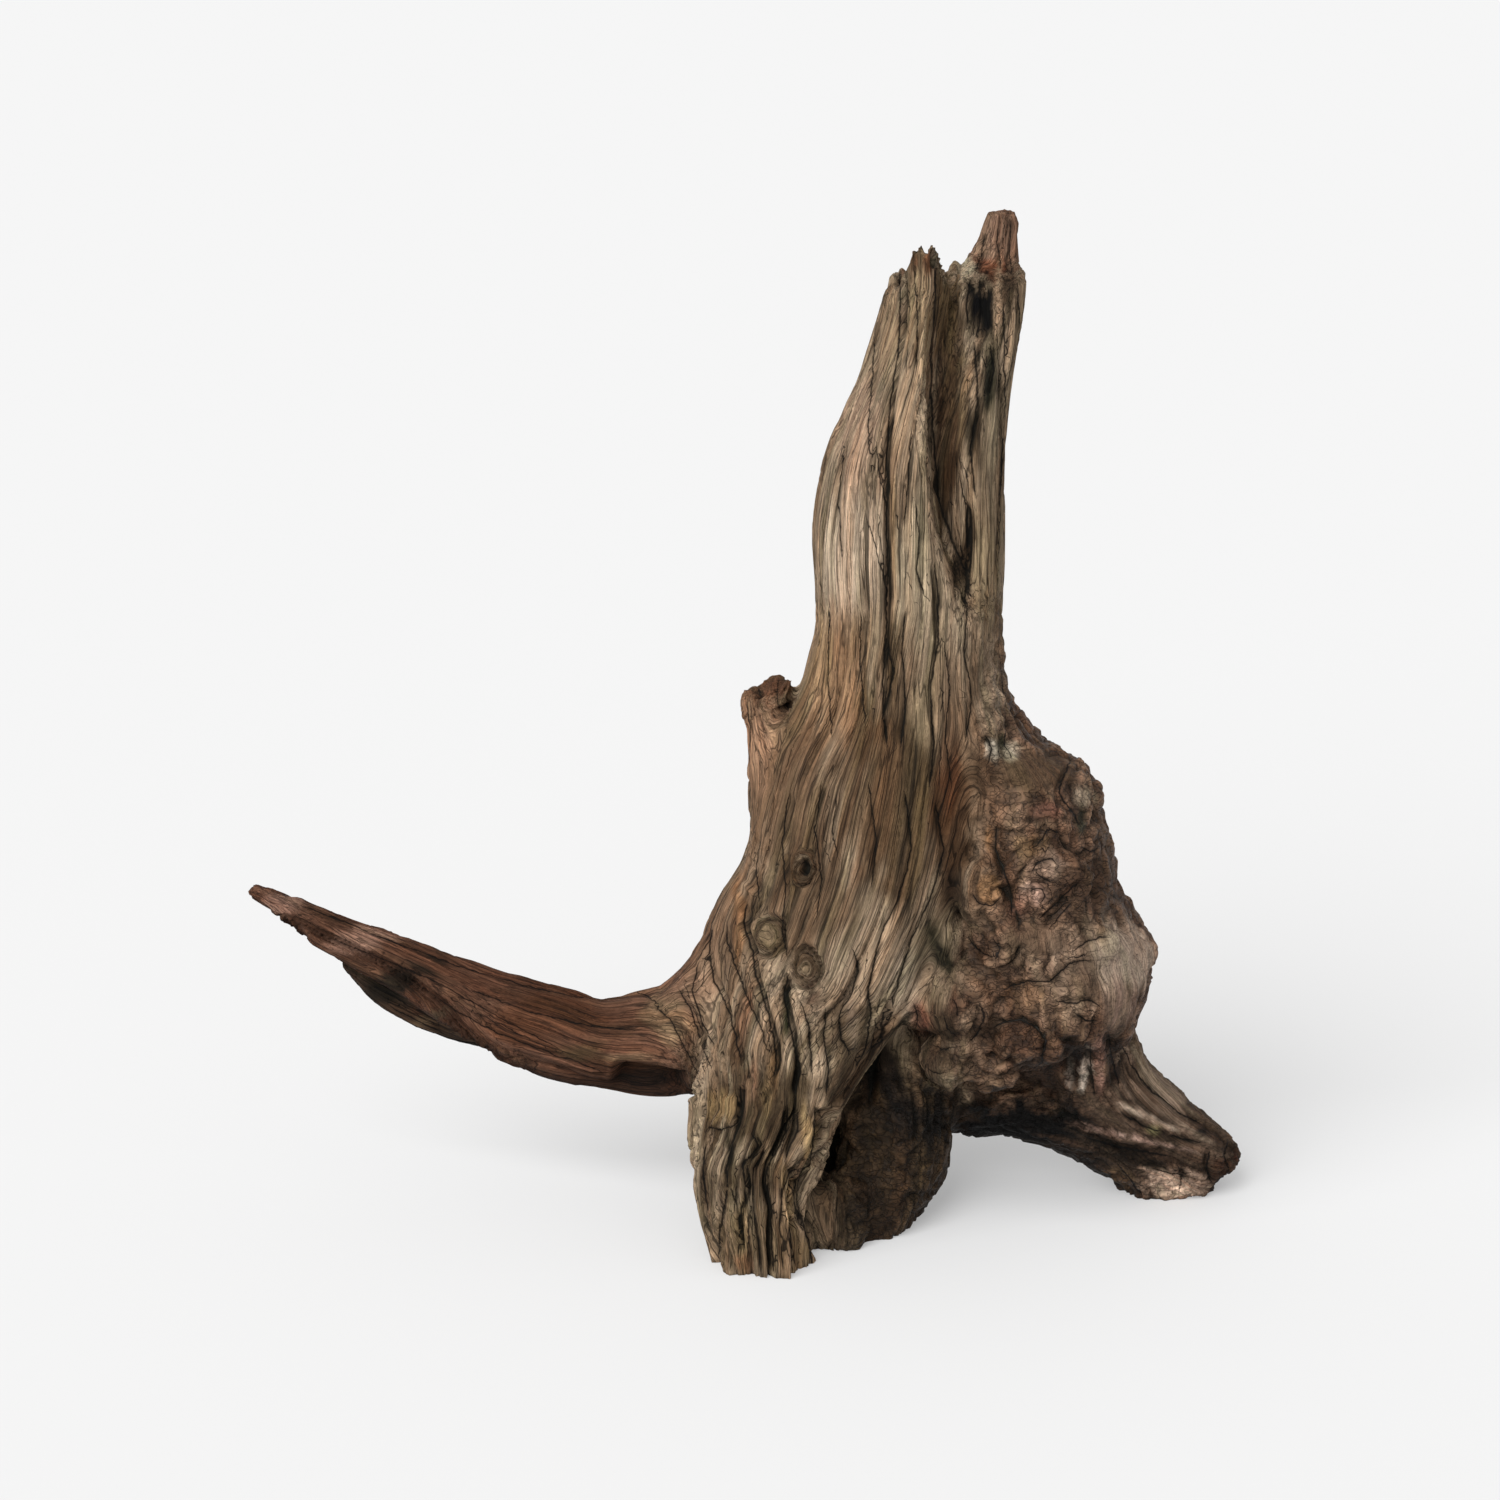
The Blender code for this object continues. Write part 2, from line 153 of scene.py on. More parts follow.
@dataclass(frozen=True)
class Shell:
    """A closed surface: rings of points in order, each end closed by a pole."""

    rings: Array

    def mesh_parts(self, first: int) -> tuple[Array, Array, Array]:
        """The surface as points, quads and end triangles.

        Args:
            first: Index of this surface's first point.

        Returns:
            Points, then quads and triangles as point indices.
        """
        count, sides, _ = self.rings.shape
        poles = self.rings[0].mean(axis=0), self.rings[-1].mean(axis=0)
        points = np.vstack([self.rings.reshape(-1, 3), *poles])
        ring, side = np.arange(count - 1)[:, None], np.arange(sides)
        after = (side + 1) % sides
        near, near_after = ring * sides + side, ring * sides + after
        quads = np.stack([near, near_after, near_after + sides, near + sides], axis=-1).reshape(-1, 4)
        start, end = np.full(sides, count * sides), np.full(sides, count * sides + 1)
        last = (count - 1) * sides
        first_cap = np.stack([start, after, side], axis=1)
        last_cap = np.stack([end, last + side, last + after], axis=1)
        return points, quads + first, np.vstack([first_cap, last_cap]) + first


@dataclass(frozen=True)
class Limb:
    """A limb lofted through sections: x, y, z of the centre, half width, half depth."""

    name: str
    posture: Posture
    grain: Grain
    colours: tuple[Colour, Colour]
    sections: tuple[tuple[float, ...], ...]
    ring_count: int = 110
    sides: int = 120

    def path(self) -> tuple[Array, Array]:
        """Sections evenly spaced on the Catmull-Rom curve through the given ones.

        Returns:
            One row for each section, and the distance run to it.
        """
        rows = np.array(self.sections, float)
        held = np.vstack([2 * rows[0] - rows[1], rows, 2 * rows[-1] - rows[-2]])
        share = np.linspace(0.0, 1.0, 16, endpoint=False)[:, None]
        fine = []
        for before, start, end, after in zip(held, held[1:], held[2:], held[3:]):
            fine.append(
                0.5
                * (
                    2 * start
                    + (end - before) * share
                    + (2 * before - 5 * start + 4 * end - after) * share**2
                    + (3 * start - before - 3 * end + after) * share**3
                )
            )
        fine = np.vstack([*fine, rows[-1:]])
        steps = np.linalg.norm(np.diff(fine[:, :3], axis=0), axis=1)
        run = np.concatenate([[0.0], np.cumsum(steps)])
        even = np.linspace(0.0, run[-1], self.ring_count)
        return np.stack([np.interp(even, run, column) for column in fine.T], axis=1), even

    def axes(self, centres: Array) -> tuple[Array, Array, Array]:
        """Directions of the limb at each section.

        Args:
            centres: Middle of each section, one row each.

        Returns:
            Unit vectors along the limb, across its width and across its depth.
        """
        along = np.gradient(centres, axis=0)
        along /= np.linalg.norm(along, axis=1)[:, None]
        if self.posture is Posture.LEVEL:
            count = len(centres)
            return along, np.tile([-1.0, 0.0, 0.0], (count, 1)), np.tile([0.0, 1.0, 0.0], (count, 1))
        across = np.cross([0.0, 1.0, 0.0], along)
        across /= np.linalg.norm(across, axis=1)[:, None]
        return along, across, np.cross(along, across)

    def outline(self, height: Array, bearing: Array) -> Array:
        """Radius as a share of the plain ellipse, at a height and a bearing."""
        return np.ones(np.broadcast(height, bearing).shape)

    def shell(self) -> Shell:
        """The limb's skin: centre + width cos t across + depth sin t deep, carried along the path.

        Returns:
            One ring of points for each section.
        """
        rows, _ = self.path()
        _, across, deep = self.axes(rows[:, :3])
        turn = np.linspace(0.0, 2 * math.pi, self.sides, endpoint=False)
        share = self.outline(rows[:, 2:3], np.degrees(turn)[None])
        wide = (rows[:, 3:4] * np.cos(turn) * share)[..., None] * across[:, None]
        thick = (rows[:, 4:5] * np.sin(turn) * share)[..., None] * deep[:, None]
        return Shell(rows[:, None, :3] + wide + thick)

    def places(self, points: Array) -> tuple[Array, Array, Array, Array, Array]:
        """Where points lie on the limb.

        Args:
            points: Places in the scene, one row each.

        Returns:
            Distance across, distance deep, distance along, how far out of the limb, where 1 is on
            its skin, and how much wider and deeper the limb is on average than here.
        """
        rows, run = self.path()
        along, across, deep = self.axes(rows[:, :3])
        nearest = ((rows[:, :3] ** 2).sum(axis=1) - 2.0 * points @ rows[:, :3].T).argmin(axis=1)
        offset = points - rows[nearest, :3]
        between = np.clip((offset * along[nearest]).sum(axis=1) / run[1], -0.5, 0.5)
        place = np.clip(nearest + between, 0, self.ring_count - 1)
        low = np.minimum(place.astype(int), self.ring_count - 2)
        part = (place - low)[:, None]
        here, ahead, side, back = (
            table[low] * (1.0 - part) + table[low + 1] * part for table in (rows, along, across, deep)
        )
        offset = points - here[:, :3]
        u, v, past = ((offset * axis).sum(axis=1) for axis in (side, back, ahead))
        beyond = np.maximum(np.abs(past) - run[1], 0.0) / 12.0
        outness = np.sqrt((u / here[:, 3]) ** 2 + (v / here[:, 4]) ** 2 + beyond**2)
        stretch = np.clip(rows[:, 3:5].mean(axis=0) / here[:, 3:5], 0.55, 2.0)
        return u, v, place * run[1] + past, outness, stretch


@dataclass(frozen=True)
class Stem(Limb):
    """The upright stem: an open rotted channel in its front and a broken, hollow top."""

    rim: float = 403.0
    # How softly the channel's left and right edges turn over, in degrees.
    left_edge: float = 1.8
    right_edge: float = 2.4
    # Width of the channel's left lip in degrees, and its rise as a share of the radius.
    lip_width: float = 8.0
    lip_rise: float = 0.05
    # How far the rim drops where the channel cuts it, in millimetres.
    channel_drop: float = 9.0
    # Height, left bearing, right bearing and depth share of the channel.
    channel: tuple[tuple[float, float, float, float], ...] = (
        (268, -124, -136, 0.0), (284, -121, -136, 0.22), (303, -112, -133, 0.42), (340, -95, -124, 0.52),
        (366, -81, -128, 0.62), (384, -75, -138, 0.78), (399, -73, -147, 0.9), (405, -73, -147, 0.9),
    )
    # Bearing, height and width of each tooth of the rim: degrees, millimetres, degrees.
    teeth: tuple[tuple[float, float, float], ...] = (
        (-70, 20, 8), (-57, 15, 8), (-46, 14, 8), (-36, 4, 6), (-62, -7, 2.4), (0, -4, 16),
        (-172, 5, 10), (172, 5, 10), (130, 8, 26), (38, 3, 9), (58, 5, 8), (84, -4, 9), (79, 4, 3),
        (92, 5, 2.6), (104, 3, 3),
    )
    # From the pith outwards: share of the radius, depth under the rim, share of the rim's wave.
    broken_top: tuple[tuple[float, float, float], ...] = (
        (0.03, 10.0, 0.0), (0.3, 8.0, 0.1), (0.6, 5.0, 0.4), (0.8, 2.0, 0.85), (0.93, 1.0, 1.0),
        (1.0, 3.0, 1.0),
    )
    # Least fall from each ring below the rim to the next, in millimetres.
    ring_fall: float = 0.02

    def open_share(self, height: Array, bearing: Array) -> tuple[Array, Array, Array]:
        """Where the channel runs.

        Args:
            height: Heights in millimetres.
            bearing: Bearings in degrees.

        Returns:
            The share of the channel's floor, that of its left lip, and the channel's depth.
        """
        heights, lefts, rights, depths = np.array(self.channel).T
        left, right, depth = (np.interp(height, heights, column) for column in (lefts, rights, depths))
        place = turned(bearing, 0.0)
        under_left = 1.0 / (1.0 + np.exp((place - left) / self.left_edge))
        floor = under_left / (1.0 + np.exp((right - place) / self.right_edge))
        return floor, bell(place - left - self.lip_width, self.lip_width), depth

    def outline(self, height: Array, bearing: Array) -> Array:
        """1, less the channel between its two soft edges, plus its left lip and two sets of flutes.

        Args:
            height: Heights in millimetres.
            bearing: Bearings in degrees.

        Returns:
            Radius as a share of the plain ellipse.
        """
        floor, lip, depth = self.open_share(height, bearing)
        turn = np.radians(bearing)
        flutes = 0.02 * np.sin(7 * turn + height / 45.0) * smooth_step(height, 180.0, 240.0)
        flutes = flutes + 0.015 * np.sin(12 * turn - height / 60.0 + 2.0)
        return 1.0 - depth * floor + self.lip_rise * depth * lip + flutes

    def rim_wave(self, bearing: Array) -> Array:
        """Height of the broken rim over its mean: a rough wave, a bell for each tooth, low in the channel.

        Args:
            bearing: Bearings in degrees.

        Returns:
            Millimetres over the rim's mean height.
        """
        turn = np.radians(bearing)
        height = 1.6 * np.sin(17 * turn + 1.0) * np.sin(5 * turn)
        for centre, rise, width in self.teeth:
            height = height + rise * bell(turned(bearing, centre), width)
        floor = self.open_share(np.full_like(bearing, self.rim), bearing)[0]
        return height * (1.0 - floor) - self.channel_drop * floor

    def shell(self) -> Shell:
        """The stem's skin, with rings from the pith out to the teeth in place of a flat top.

        Each ring is the top outline times a share, sunk a little, with a share of the rim's wave.

        Returns:
            The rings of the broken top, then those of the limb below it.
        """
        plain = Limb.shell(self).rings
        centre = np.array(self.sections[0][:3])
        bearing = np.degrees(np.linspace(0.0, 2 * math.pi, self.sides, endpoint=False))
        broken = []
        for share, drop, torn in self.broken_top:
            ring = centre + (plain[0] - centre) * share
            ring[:, 2] = self.rim - drop + self.rim_wave(bearing) * torn
            broken.append(ring)
        edge = broken[-1][:, 2]
        below = plain[1:].copy()
        sunk = np.arange(1, len(below) + 1)[:, None] * self.ring_fall
        below[:, :, 2] = np.minimum(below[:, :, 2], edge - sunk)
        return Shell(np.concatenate([np.array(broken), below]))


@dataclass(frozen=True)
class Knob:
    """A swelling: a ball stretched to three radii."""

    centre: tuple[float, float, float]
    radii: tuple[float, float, float]
    ring_count: int = 33
    sides: int = 64
    pole_gap: float = 0.02

    def shell(self) -> Shell:
        """Latitude rings from top to bottom: x = -rx sin a cos t, y = ry sin a sin t, z = rz cos a.

        Returns:
            The rings, of which the first and last lie close to the poles.
        """
        fall = np.linspace(self.pole_gap, math.pi - self.pole_gap, self.ring_count)[:, None]
        turn = np.linspace(0.0, 2 * math.pi, self.sides, endpoint=False)
        level = -np.sin(fall) * np.cos(turn), np.sin(fall) * np.sin(turn)
        unit = np.stack([*level, np.cos(fall) + 0 * turn], axis=-1)
        return Shell(np.array(self.centre) + unit * np.array(self.radii))


@dataclass(frozen=True)
class FrontView:
    """The view in which the front's marks are placed: a camera that looks down a little at the middle.

    The aim, distance, lens and sensor are millimetres, the elevation degrees and the side pixels.
    """

    aim: tuple[float, float, float] = (0.0, 0.0, 205.0)
    distance: float = 1488.0
    elevation: float = 18.0
    lens: float = 85.0
    sensor: float = 36.0
    side: float = 1500.0

    def pixel(self) -> float:
        """Millimetres to a picture pixel, at the point aimed at."""
        return self.distance * self.sensor / self.lens / self.side

    def place(self) -> Array:
        """Where the camera stands."""
        tilt = math.radians(self.elevation)
        return np.array(self.aim) + self.distance * np.array([0.0, -math.cos(tilt), math.sin(tilt)])

    def seen(self, points: Array) -> tuple[Array, Array]:
        """Where points stand in the picture, by central projection.

        Args:
            points: Places in the scene, one row each.

        Returns:
            How far across and how far down the picture, in its pixels.
        """
        tilt = math.radians(self.elevation)
        offset = points - self.place()
        ahead = offset[:, 1] * math.cos(tilt) - offset[:, 2] * math.sin(tilt)
        up = offset[:, 1] * math.sin(tilt) + offset[:, 2] * math.cos(tilt)
        zoom = self.lens / self.sensor * self.side / ahead
        return self.side / 2 + offset[:, 0] * zoom, self.side / 2 - up * zoom

    def facing(self, points: Array, normals: Array) -> Array:
        """Cosine of the angle between the surface and the line of sight."""
        sight = self.place() - points
        return (sight * normals).sum(axis=1) / np.linalg.norm(sight, axis=1)


class MarkKind(Enum):
    """What a drawn line does to the skin."""

    GROOVE = "sinks along the line"
    RIDGE = "stands up along the line"
    STEP = "drops on the side that lies to the right of a line drawn downwards"


@dataclass(frozen=True)
class Mark:
    """A line on the front: picture points along it, half width, height and reach in millimetres.

    Its ends taper over so many pixels.
    """

    kind: MarkKind
    line: tuple[tuple[float, float], ...]
    half_width: float
    height: float
    reach: float = 8.0
    taper: float = 14.0
    # Least half width that the skin can carry, in millimetres.
    finest: float = 1.3

    def away(self, across: Array, down: Array) -> tuple[Array, Array]:
        """Distance of each picture place from the line of straight runs.

        Args:
            across: Places across the picture, in pixels.
            down: Places down the picture, in pixels.

        Returns:
            The distance, negative on the left of a line drawn downwards, and how far along the
            line the nearest point is from its closer end, both in pixels.
        """
        nearest, side, run = np.full(len(across), np.inf), np.ones(len(across)), np.zeros(len(across))
        length = 0.0
        for (x0, y0), (x1, y1) in zip(self.line, self.line[1:]):
            dx, dy = x1 - x0, y1 - y0
            long = math.hypot(dx, dy)
            share = np.clip(((across - x0) * dx + (down - y0) * dy) / long**2, 0.0, 1.0)
            away = np.hypot(across - x0 - share * dx, down - y0 - share * dy)
            closer = away < nearest
            nearest[closer] = away[closer]
            side[closer] = np.sign(dy * (across - x0) - dx * (down - y0))[closer]
            run[closer] = length + long * share[closer]
            length += long
        return nearest * side, np.minimum(run, length - run)

    def measured(self, across: Array, down: Array, scale: float) -> tuple[Array, Array, Array]:
        """Measures the places near the line.

        Args:
            across: Places across the picture, in pixels.
            down: Places down the picture, in pixels.
            scale: Millimetres to a pixel.

        Returns:
            Which places are near, their distance in millimetres, negative on the left of a line
            drawn downwards, and a share that fades from 1 to 0 at both ends of the line.
        """
        margin = 3.0 * max(self.half_width, self.reach) / scale
        low, high = np.array(self.line).min(axis=0) - margin, np.array(self.line).max(axis=0) + margin
        near = np.flatnonzero((across > low[0]) & (across < high[0]) & (down > low[1]) & (down < high[1]))
        away, end = self.away(across[near], down[near])
        return near, away * scale, smooth_step(end, 0.0, self.taper)

    def raised(self, across: Array, down: Array, scale: float) -> tuple[Array, Array]:
        """Height that the mark adds: a bell across a groove or ridge, a soft stair across a step.

        Args:
            across: Places across the picture, in pixels.
            down: Places down the picture, in pixels.
            scale: Millimetres to a pixel.

        Returns:
            Which places are near, and the height added there in millimetres.
        """
        near, offset, fade = self.measured(across, down, scale)
        if self.kind is MarkKind.STEP:
            shape = -smooth_step(offset, -0.5 * self.half_width, self.half_width)
            shape *= 1.0 - smooth_step(np.abs(offset), 0.3 * self.reach, self.reach)
        else:
            sign = 1.0 if self.kind is MarkKind.RIDGE else -1.0
            shape = bell(offset, max(self.half_width, self.finest)) * sign
        return near, self.height * shape * fade

    def crack(self) -> float:
        """Half width of the black line in the mark's bottom: none in a ridge or a broad valley."""
        widths = {MarkKind.GROOVE: 0.42, MarkKind.STEP: 0.36, MarkKind.RIDGE: 0.0}
        return widths[self.kind] * min(self.half_width, 1.2) if self.half_width < 2.6 else 0.0


@dataclass(frozen=True)
class Knot:
    """A knot in the front face: picture place, radius, collar height and eye depth in millimetres.

    It is longer down the picture than across it, so a height counts as the share squash of itself.
    """

    across: float
    down: float
    radius: float
    collar: float
    eye: float
    squash: float = 0.72


@dataclass(frozen=True)
class FootSway:
    """How the laminae of the front foot swing sideways: pixels across at heights down the picture."""

    down: tuple[float, ...] = (1050, 1085, 1112, 1140, 1170, 1200, 1240)
    across: tuple[float, ...] = (0, 7, 12, 4, -9, -7, 0)

    def shift(self, down: Array) -> Array:
        """How far the laminae stand to the right of a straight fibre, in pixels."""
        return np.interp(down, self.down, self.across)


@dataclass(frozen=True)
class Oval:
    """An oval place on the front: picture place, half sizes in pixels, lean in degrees."""

    across: float
    down: float
    half_width: float
    half_height: float
    lean: float

    def inside(self, across: Array, down: Array, fray: Array | float = 0.0) -> Array:
        """Share of the oval that covers each place, with a soft edge that the fraying shifts.

        Args:
            across: Places across the picture, in pixels.
            down: Places down the picture, in pixels.
            fray: Added to a place's distance from the middle, where 1 is on the edge.

        Returns:
            1 inside the oval and 0 outside.
        """
        lean = math.radians(self.lean)
        dx, dy = across - self.across, down - self.down
        wide = (dx * math.cos(lean) - dy * math.sin(lean)) / self.half_width
        high = (dx * math.sin(lean) + dy * math.cos(lean)) / self.half_height
        return 1.0 - smooth_step(np.hypot(wide, high) + fray, 0.55, 1.25)


@dataclass(frozen=True)
class Patch(Oval):
    """A stained or bleached place, or one painted with shade, with its colour and how far it covers the
    wood's own.
    """

    colour: Colour
    strength: float


@dataclass
class Reading:
    """What the grain field says at a set of points."""

    straight: Array
    flow: Array
    depths: Array
    shares: dict[str, Array]
    colours: tuple[Array, Array]


@dataclass(frozen=True)
class GrainField:
    """The wood's grain: every limb carried back to one straight trunk."""

    limbs: tuple[Limb, ...]
    chunk: int = 40000
    # A limb's share falls with this power of how far out of it a point lies.
    fall: int = -8
    core: float = 0.05

    def read(self, points: Array) -> Reading:
        """Blends the limbs' own coordinates, each weighted by (outness + core)^fall.

        Args:
            points: Places in the scene, one row each.

        Returns:
            Straight-grained coordinates, the same drawn along each limb's narrowing skin, mark
            depths, each limb's share and the limb colours.
        """
        parts = [self.read_chunk(points[i : i + self.chunk]) for i in range(0, len(points), self.chunk)]
        return Reading(
            np.vstack([part.straight for part in parts]),
            np.vstack([part.flow for part in parts]),
            np.vstack([part.depths for part in parts]),
            {limb.name: np.concatenate([part.shares[limb.name] for part in parts]) for limb in self.limbs},
            (np.vstack([part.colours[0] for part in parts]), np.vstack([part.colours[1] for part in parts])),
        )

    def read_chunk(self, points: Array) -> Reading:
        """The reading for a few points at a time, which keeps memory small.

        Args:
            points: Places in the scene, one row each.

        Returns:
            The same as read gives for them.
        """
        stem = self.limbs[0]
        trunk, _ = stem.path()
        straight, flow, depths, shares = 0.0, 0.0, 0.0, {}
        dark, pale = 0.0, 0.0
        for limb in self.limbs:
            u, v, s, outness, stretch = limb.places(points)
            x, y, z = limb.sections[0][:3]
            home_x = np.interp(z, trunk[::-1, 2], trunk[::-1, 0])
            home_y = np.interp(z, trunk[::-1, 2], trunk[::-1, 1])
            share = (outness + self.core) ** self.fall
            shares[limb.name] = share
            home = np.stack([u - x + home_x, v + y - home_y, s + stem.sections[0][2] - z], axis=1)
            straight = straight + share[:, None] * home
            home[:, :2] += np.stack([u, v], axis=1) * (stretch - 1.0)
            flow = flow + share[:, None] * home
            depths = depths + share[:, None] * np.array(limb.grain.row())
            dark = dark + share[:, None] * linear(limb.colours[0])
            pale = pale + share[:, None] * linear(limb.colours[1])
        total = sum(shares.values())
        return Reading(
            (straight / total[:, None]).astype(np.float32),
            (flow / total[:, None]).astype(np.float32),
            (depths / total[:, None]).astype(np.float32),
            {name: (share / total).astype(np.float32) for name, share in shares.items()},
            ((dark / total[:, None]).astype(np.float32), (pale / total[:, None]).astype(np.float32)),
        )


def linear(colour: Colour) -> Array:
    """A display colour of 0 to 255 as linear light: ((c + 0.055) / 1.055)^2.4."""
    share = np.array(colour, float) / 255.0
    return np.where(share <= 0.04045, share / 12.92, ((share + 0.055) / 1.055) ** 2.4)


def make_stem() -> Stem:
    """The stem.

    Returns:
        The limb, from its top down to the front foot.
    """
    return Stem(
        "stem", Posture.LEVEL, Grain(1.3, 0.9, 0.0, 0.8, 0.0), ((108, 90, 73), (168, 148, 125)),
        (
            (83.5, 13, 399, 28.5, 24), (81, 12, 385, 29.5, 26), (76, 11, 365, 31.5, 28),
            (71, 10, 346, 34.5, 30), (67, 9, 325, 37.5, 33), (65, 7, 298, 39.5, 35),
            (65.5, 6, 268, 39, 37), (64, 5, 243, 41, 39), (62, 3, 221, 45.5, 42),
            (57, 0, 192, 50, 46), (49, -4, 157, 50.5, 48), (38, -9, 128, 48.5, 48),
            (27, -15, 103, 45.5, 47), (16, -24, 81, 38.5, 43), (8.5, -34, 60, 31.5, 38),
            (3.5, -43, 40, 28, 34), (3, -50, 20, 25.5, 31), (5, -54, 4, 22.5, 28), (6, -55, -12, 20.5, 27),
        ),
        sides=240,
    )


def make_limbs() -> tuple[Limb, ...]:
    """Every limb of the root, each with its grain, its dark and pale wood and its sections.

    Returns:
        The stem first, then the roots, the burl, the stub, the splinter and the side root's flake.
    """
    level, square = Posture.LEVEL, Posture.SQUARE
    return (
        make_stem(),
        Limb("lobe", level, Grain(2.2, 0.8, 1.4, 0.5, 0.8), ((38, 28, 20), (62, 50, 38)), (
            (62, 6, 135, 20, 25), (58, 3, 105, 25, 28), (56, -3, 75, 27, 28), (55, -8, 50, 31, 30),
            (54, -12, 30, 33, 31), (51, -15, 12, 31, 31), (48, -17, 0, 27, 29), (46, -18, -12, 26, 28),
        )),
        Limb("side_root", square, Grain(1.0, 0.8, 0.2, 0.6, 0.1), ((78, 54, 42), (112, 84, 70)), (
            (52, 0, 225, 22, 28), (40, -2, 172, 28, 34), (20, -4, 126, 34.5, 38), (-5, -4, 94, 28, 32),
            (-27, -1, 76, 24, 26), (-44, 1, 71.5, 23, 21), (-65, 3, 71, 19.5, 17), (-86, 6, 75.5, 20.5, 13),
            (-108, 9, 82, 18.5, 10), (-129.5, 12, 94.5, 13, 7.5), (-151, 15, 105, 10, 6),
            (-173, 18, 114, 8.6, 5), (-190, 19.5, 121.5, 8, 4), (-203, 21, 128.5, 5, 3.4),
            (-215.5, 22.5, 134, 2.8, 2.4),
        )),
        Limb("side_blade", square, Grain(0.4, 0.6, 0.2, 0.5, 0.1), ((40, 33, 25), (72, 58, 48)), (
            (-50, 12, 64, 14, 10), (-65, 14, 62, 12, 10), (-87, 17, 65, 12, 8), (-109, 21, 69.5, 11, 6.5),
            (-129, 24, 73.5, 10.5, 5), (-144, 26, 78.5, 11, 4.4), (-159, 28, 86, 10, 3.8),
            (-168, 28.5, 91.5, 7, 3.2), (-178, 29, 98, 2.4, 2.2),
        )),
        Limb("burl", level, Grain(0.8, 0.2, 2.3, 0.1, 1.0), ((58, 42, 33), (104, 84, 70)), (
            (90, 6, 262, 14, 22), (92, 6, 238, 15, 28), (97, 5, 219, 17, 34), (104, 4, 209, 20, 36),
            (111, 3, 196, 29, 38), (116, 0, 174, 34, 43), (119, -3, 150, 37.5, 46), (122, -5, 130, 42, 48),
            (126, -5, 112, 46.5, 49), (126, -4, 94, 42, 46), (125, 4, 76, 37, 37), (129, 10, 58, 28, 25),
        )),
        Limb("right_root", square, Grain(1.9, 0.8, 0.9, 0.8, 0.5), ((50, 38, 30), (98, 82, 70)), (
            (105, 2, 175, 25, 30), (114, 2, 132, 34, 38), (126, 3, 96, 33, 36), (140, 5, 70, 27, 30),
            (157, 6, 48, 20.5, 25), (172, 8, 34, 18.5, 23), (187, 9, 23, 15.5, 21), (200, 9, 16.5, 13, 18),
            (209, 9, 12.5, 9, 13), (213.5, 9, 10.5, 4, 7),
        )),
        Limb("arch", square, Grain(1.6, 0.8, 1.2, 0.6, 0.7), ((34, 26, 20), (60, 48, 40)), (
            (58, 16, 66, 24, 26), (86, 14, 53, 26, 23), (118, 11, 44, 21.5, 22), (145, 9, 33, 18, 21),
            (164, 9, 21, 17, 19), (176, 9, 8, 16, 17), (180, 9, -8, 15, 16),
        )),
        Limb("back_root", level, Grain(2.2, 1.5, 0.4, 0.9, 0.2), ((74, 57, 44), (126, 105, 86)), (
            (62, 8, 190, 30, 30), (58, 20, 150, 36, 32), (50, 32, 110, 34, 30), (40, 43, 72, 29, 26),
            (31, 53, 38, 25, 23), (27, 58, 12, 24, 22), (25, 60, -12, 22, 20),
        )),
        Limb("stub", level, Grain(0.8, 0.8, 0.2, 0.8, 0.1), ((92, 68, 52), (132, 104, 84)), (
            (30, 2, 160, 29, 26), (22, 4, 190, 21, 22), (13, 9, 212, 14, 15), (9, 12, 220, 10.5, 12),
            (7.5, 12, 224, 8, 10),
        )),
        Limb("splinter", level, Grain(0.4, 0.5, 0.0, 0.6, 0.0), ((96, 70, 55), (134, 106, 90)), (
            (92, 19, 368, 15, 9), (94.5, 16, 388, 14.5, 12.5), (96.5, 17, 399, 13, 12),
            (98, 20, 407, 11, 9.5), (100, 22, 413, 8.9, 7), (101, 22, 417.5, 7.7, 6),
            (101.9, 22, 423, 7, 5.2), (102, 22, 428, 5.4, 4.2),
        )),
        Limb("side_flake", square, Grain(0.4, 0.6, 0.1, 0.6, 0.1), ((78, 54, 42), (112, 84, 70)), (
            (-104, 8, 69, 6, 6), (-120, 9, 76, 6.5, 5.5), (-136, 10.5, 87, 6.5, 5), (-152, 12, 97, 6, 4.5),
            (-170, 14, 105.5, 5, 4), (-183, 16, 111.5, 4.6, 3.6), (-191, 17, 115.5, 4.2, 3.2),
        )),
    )


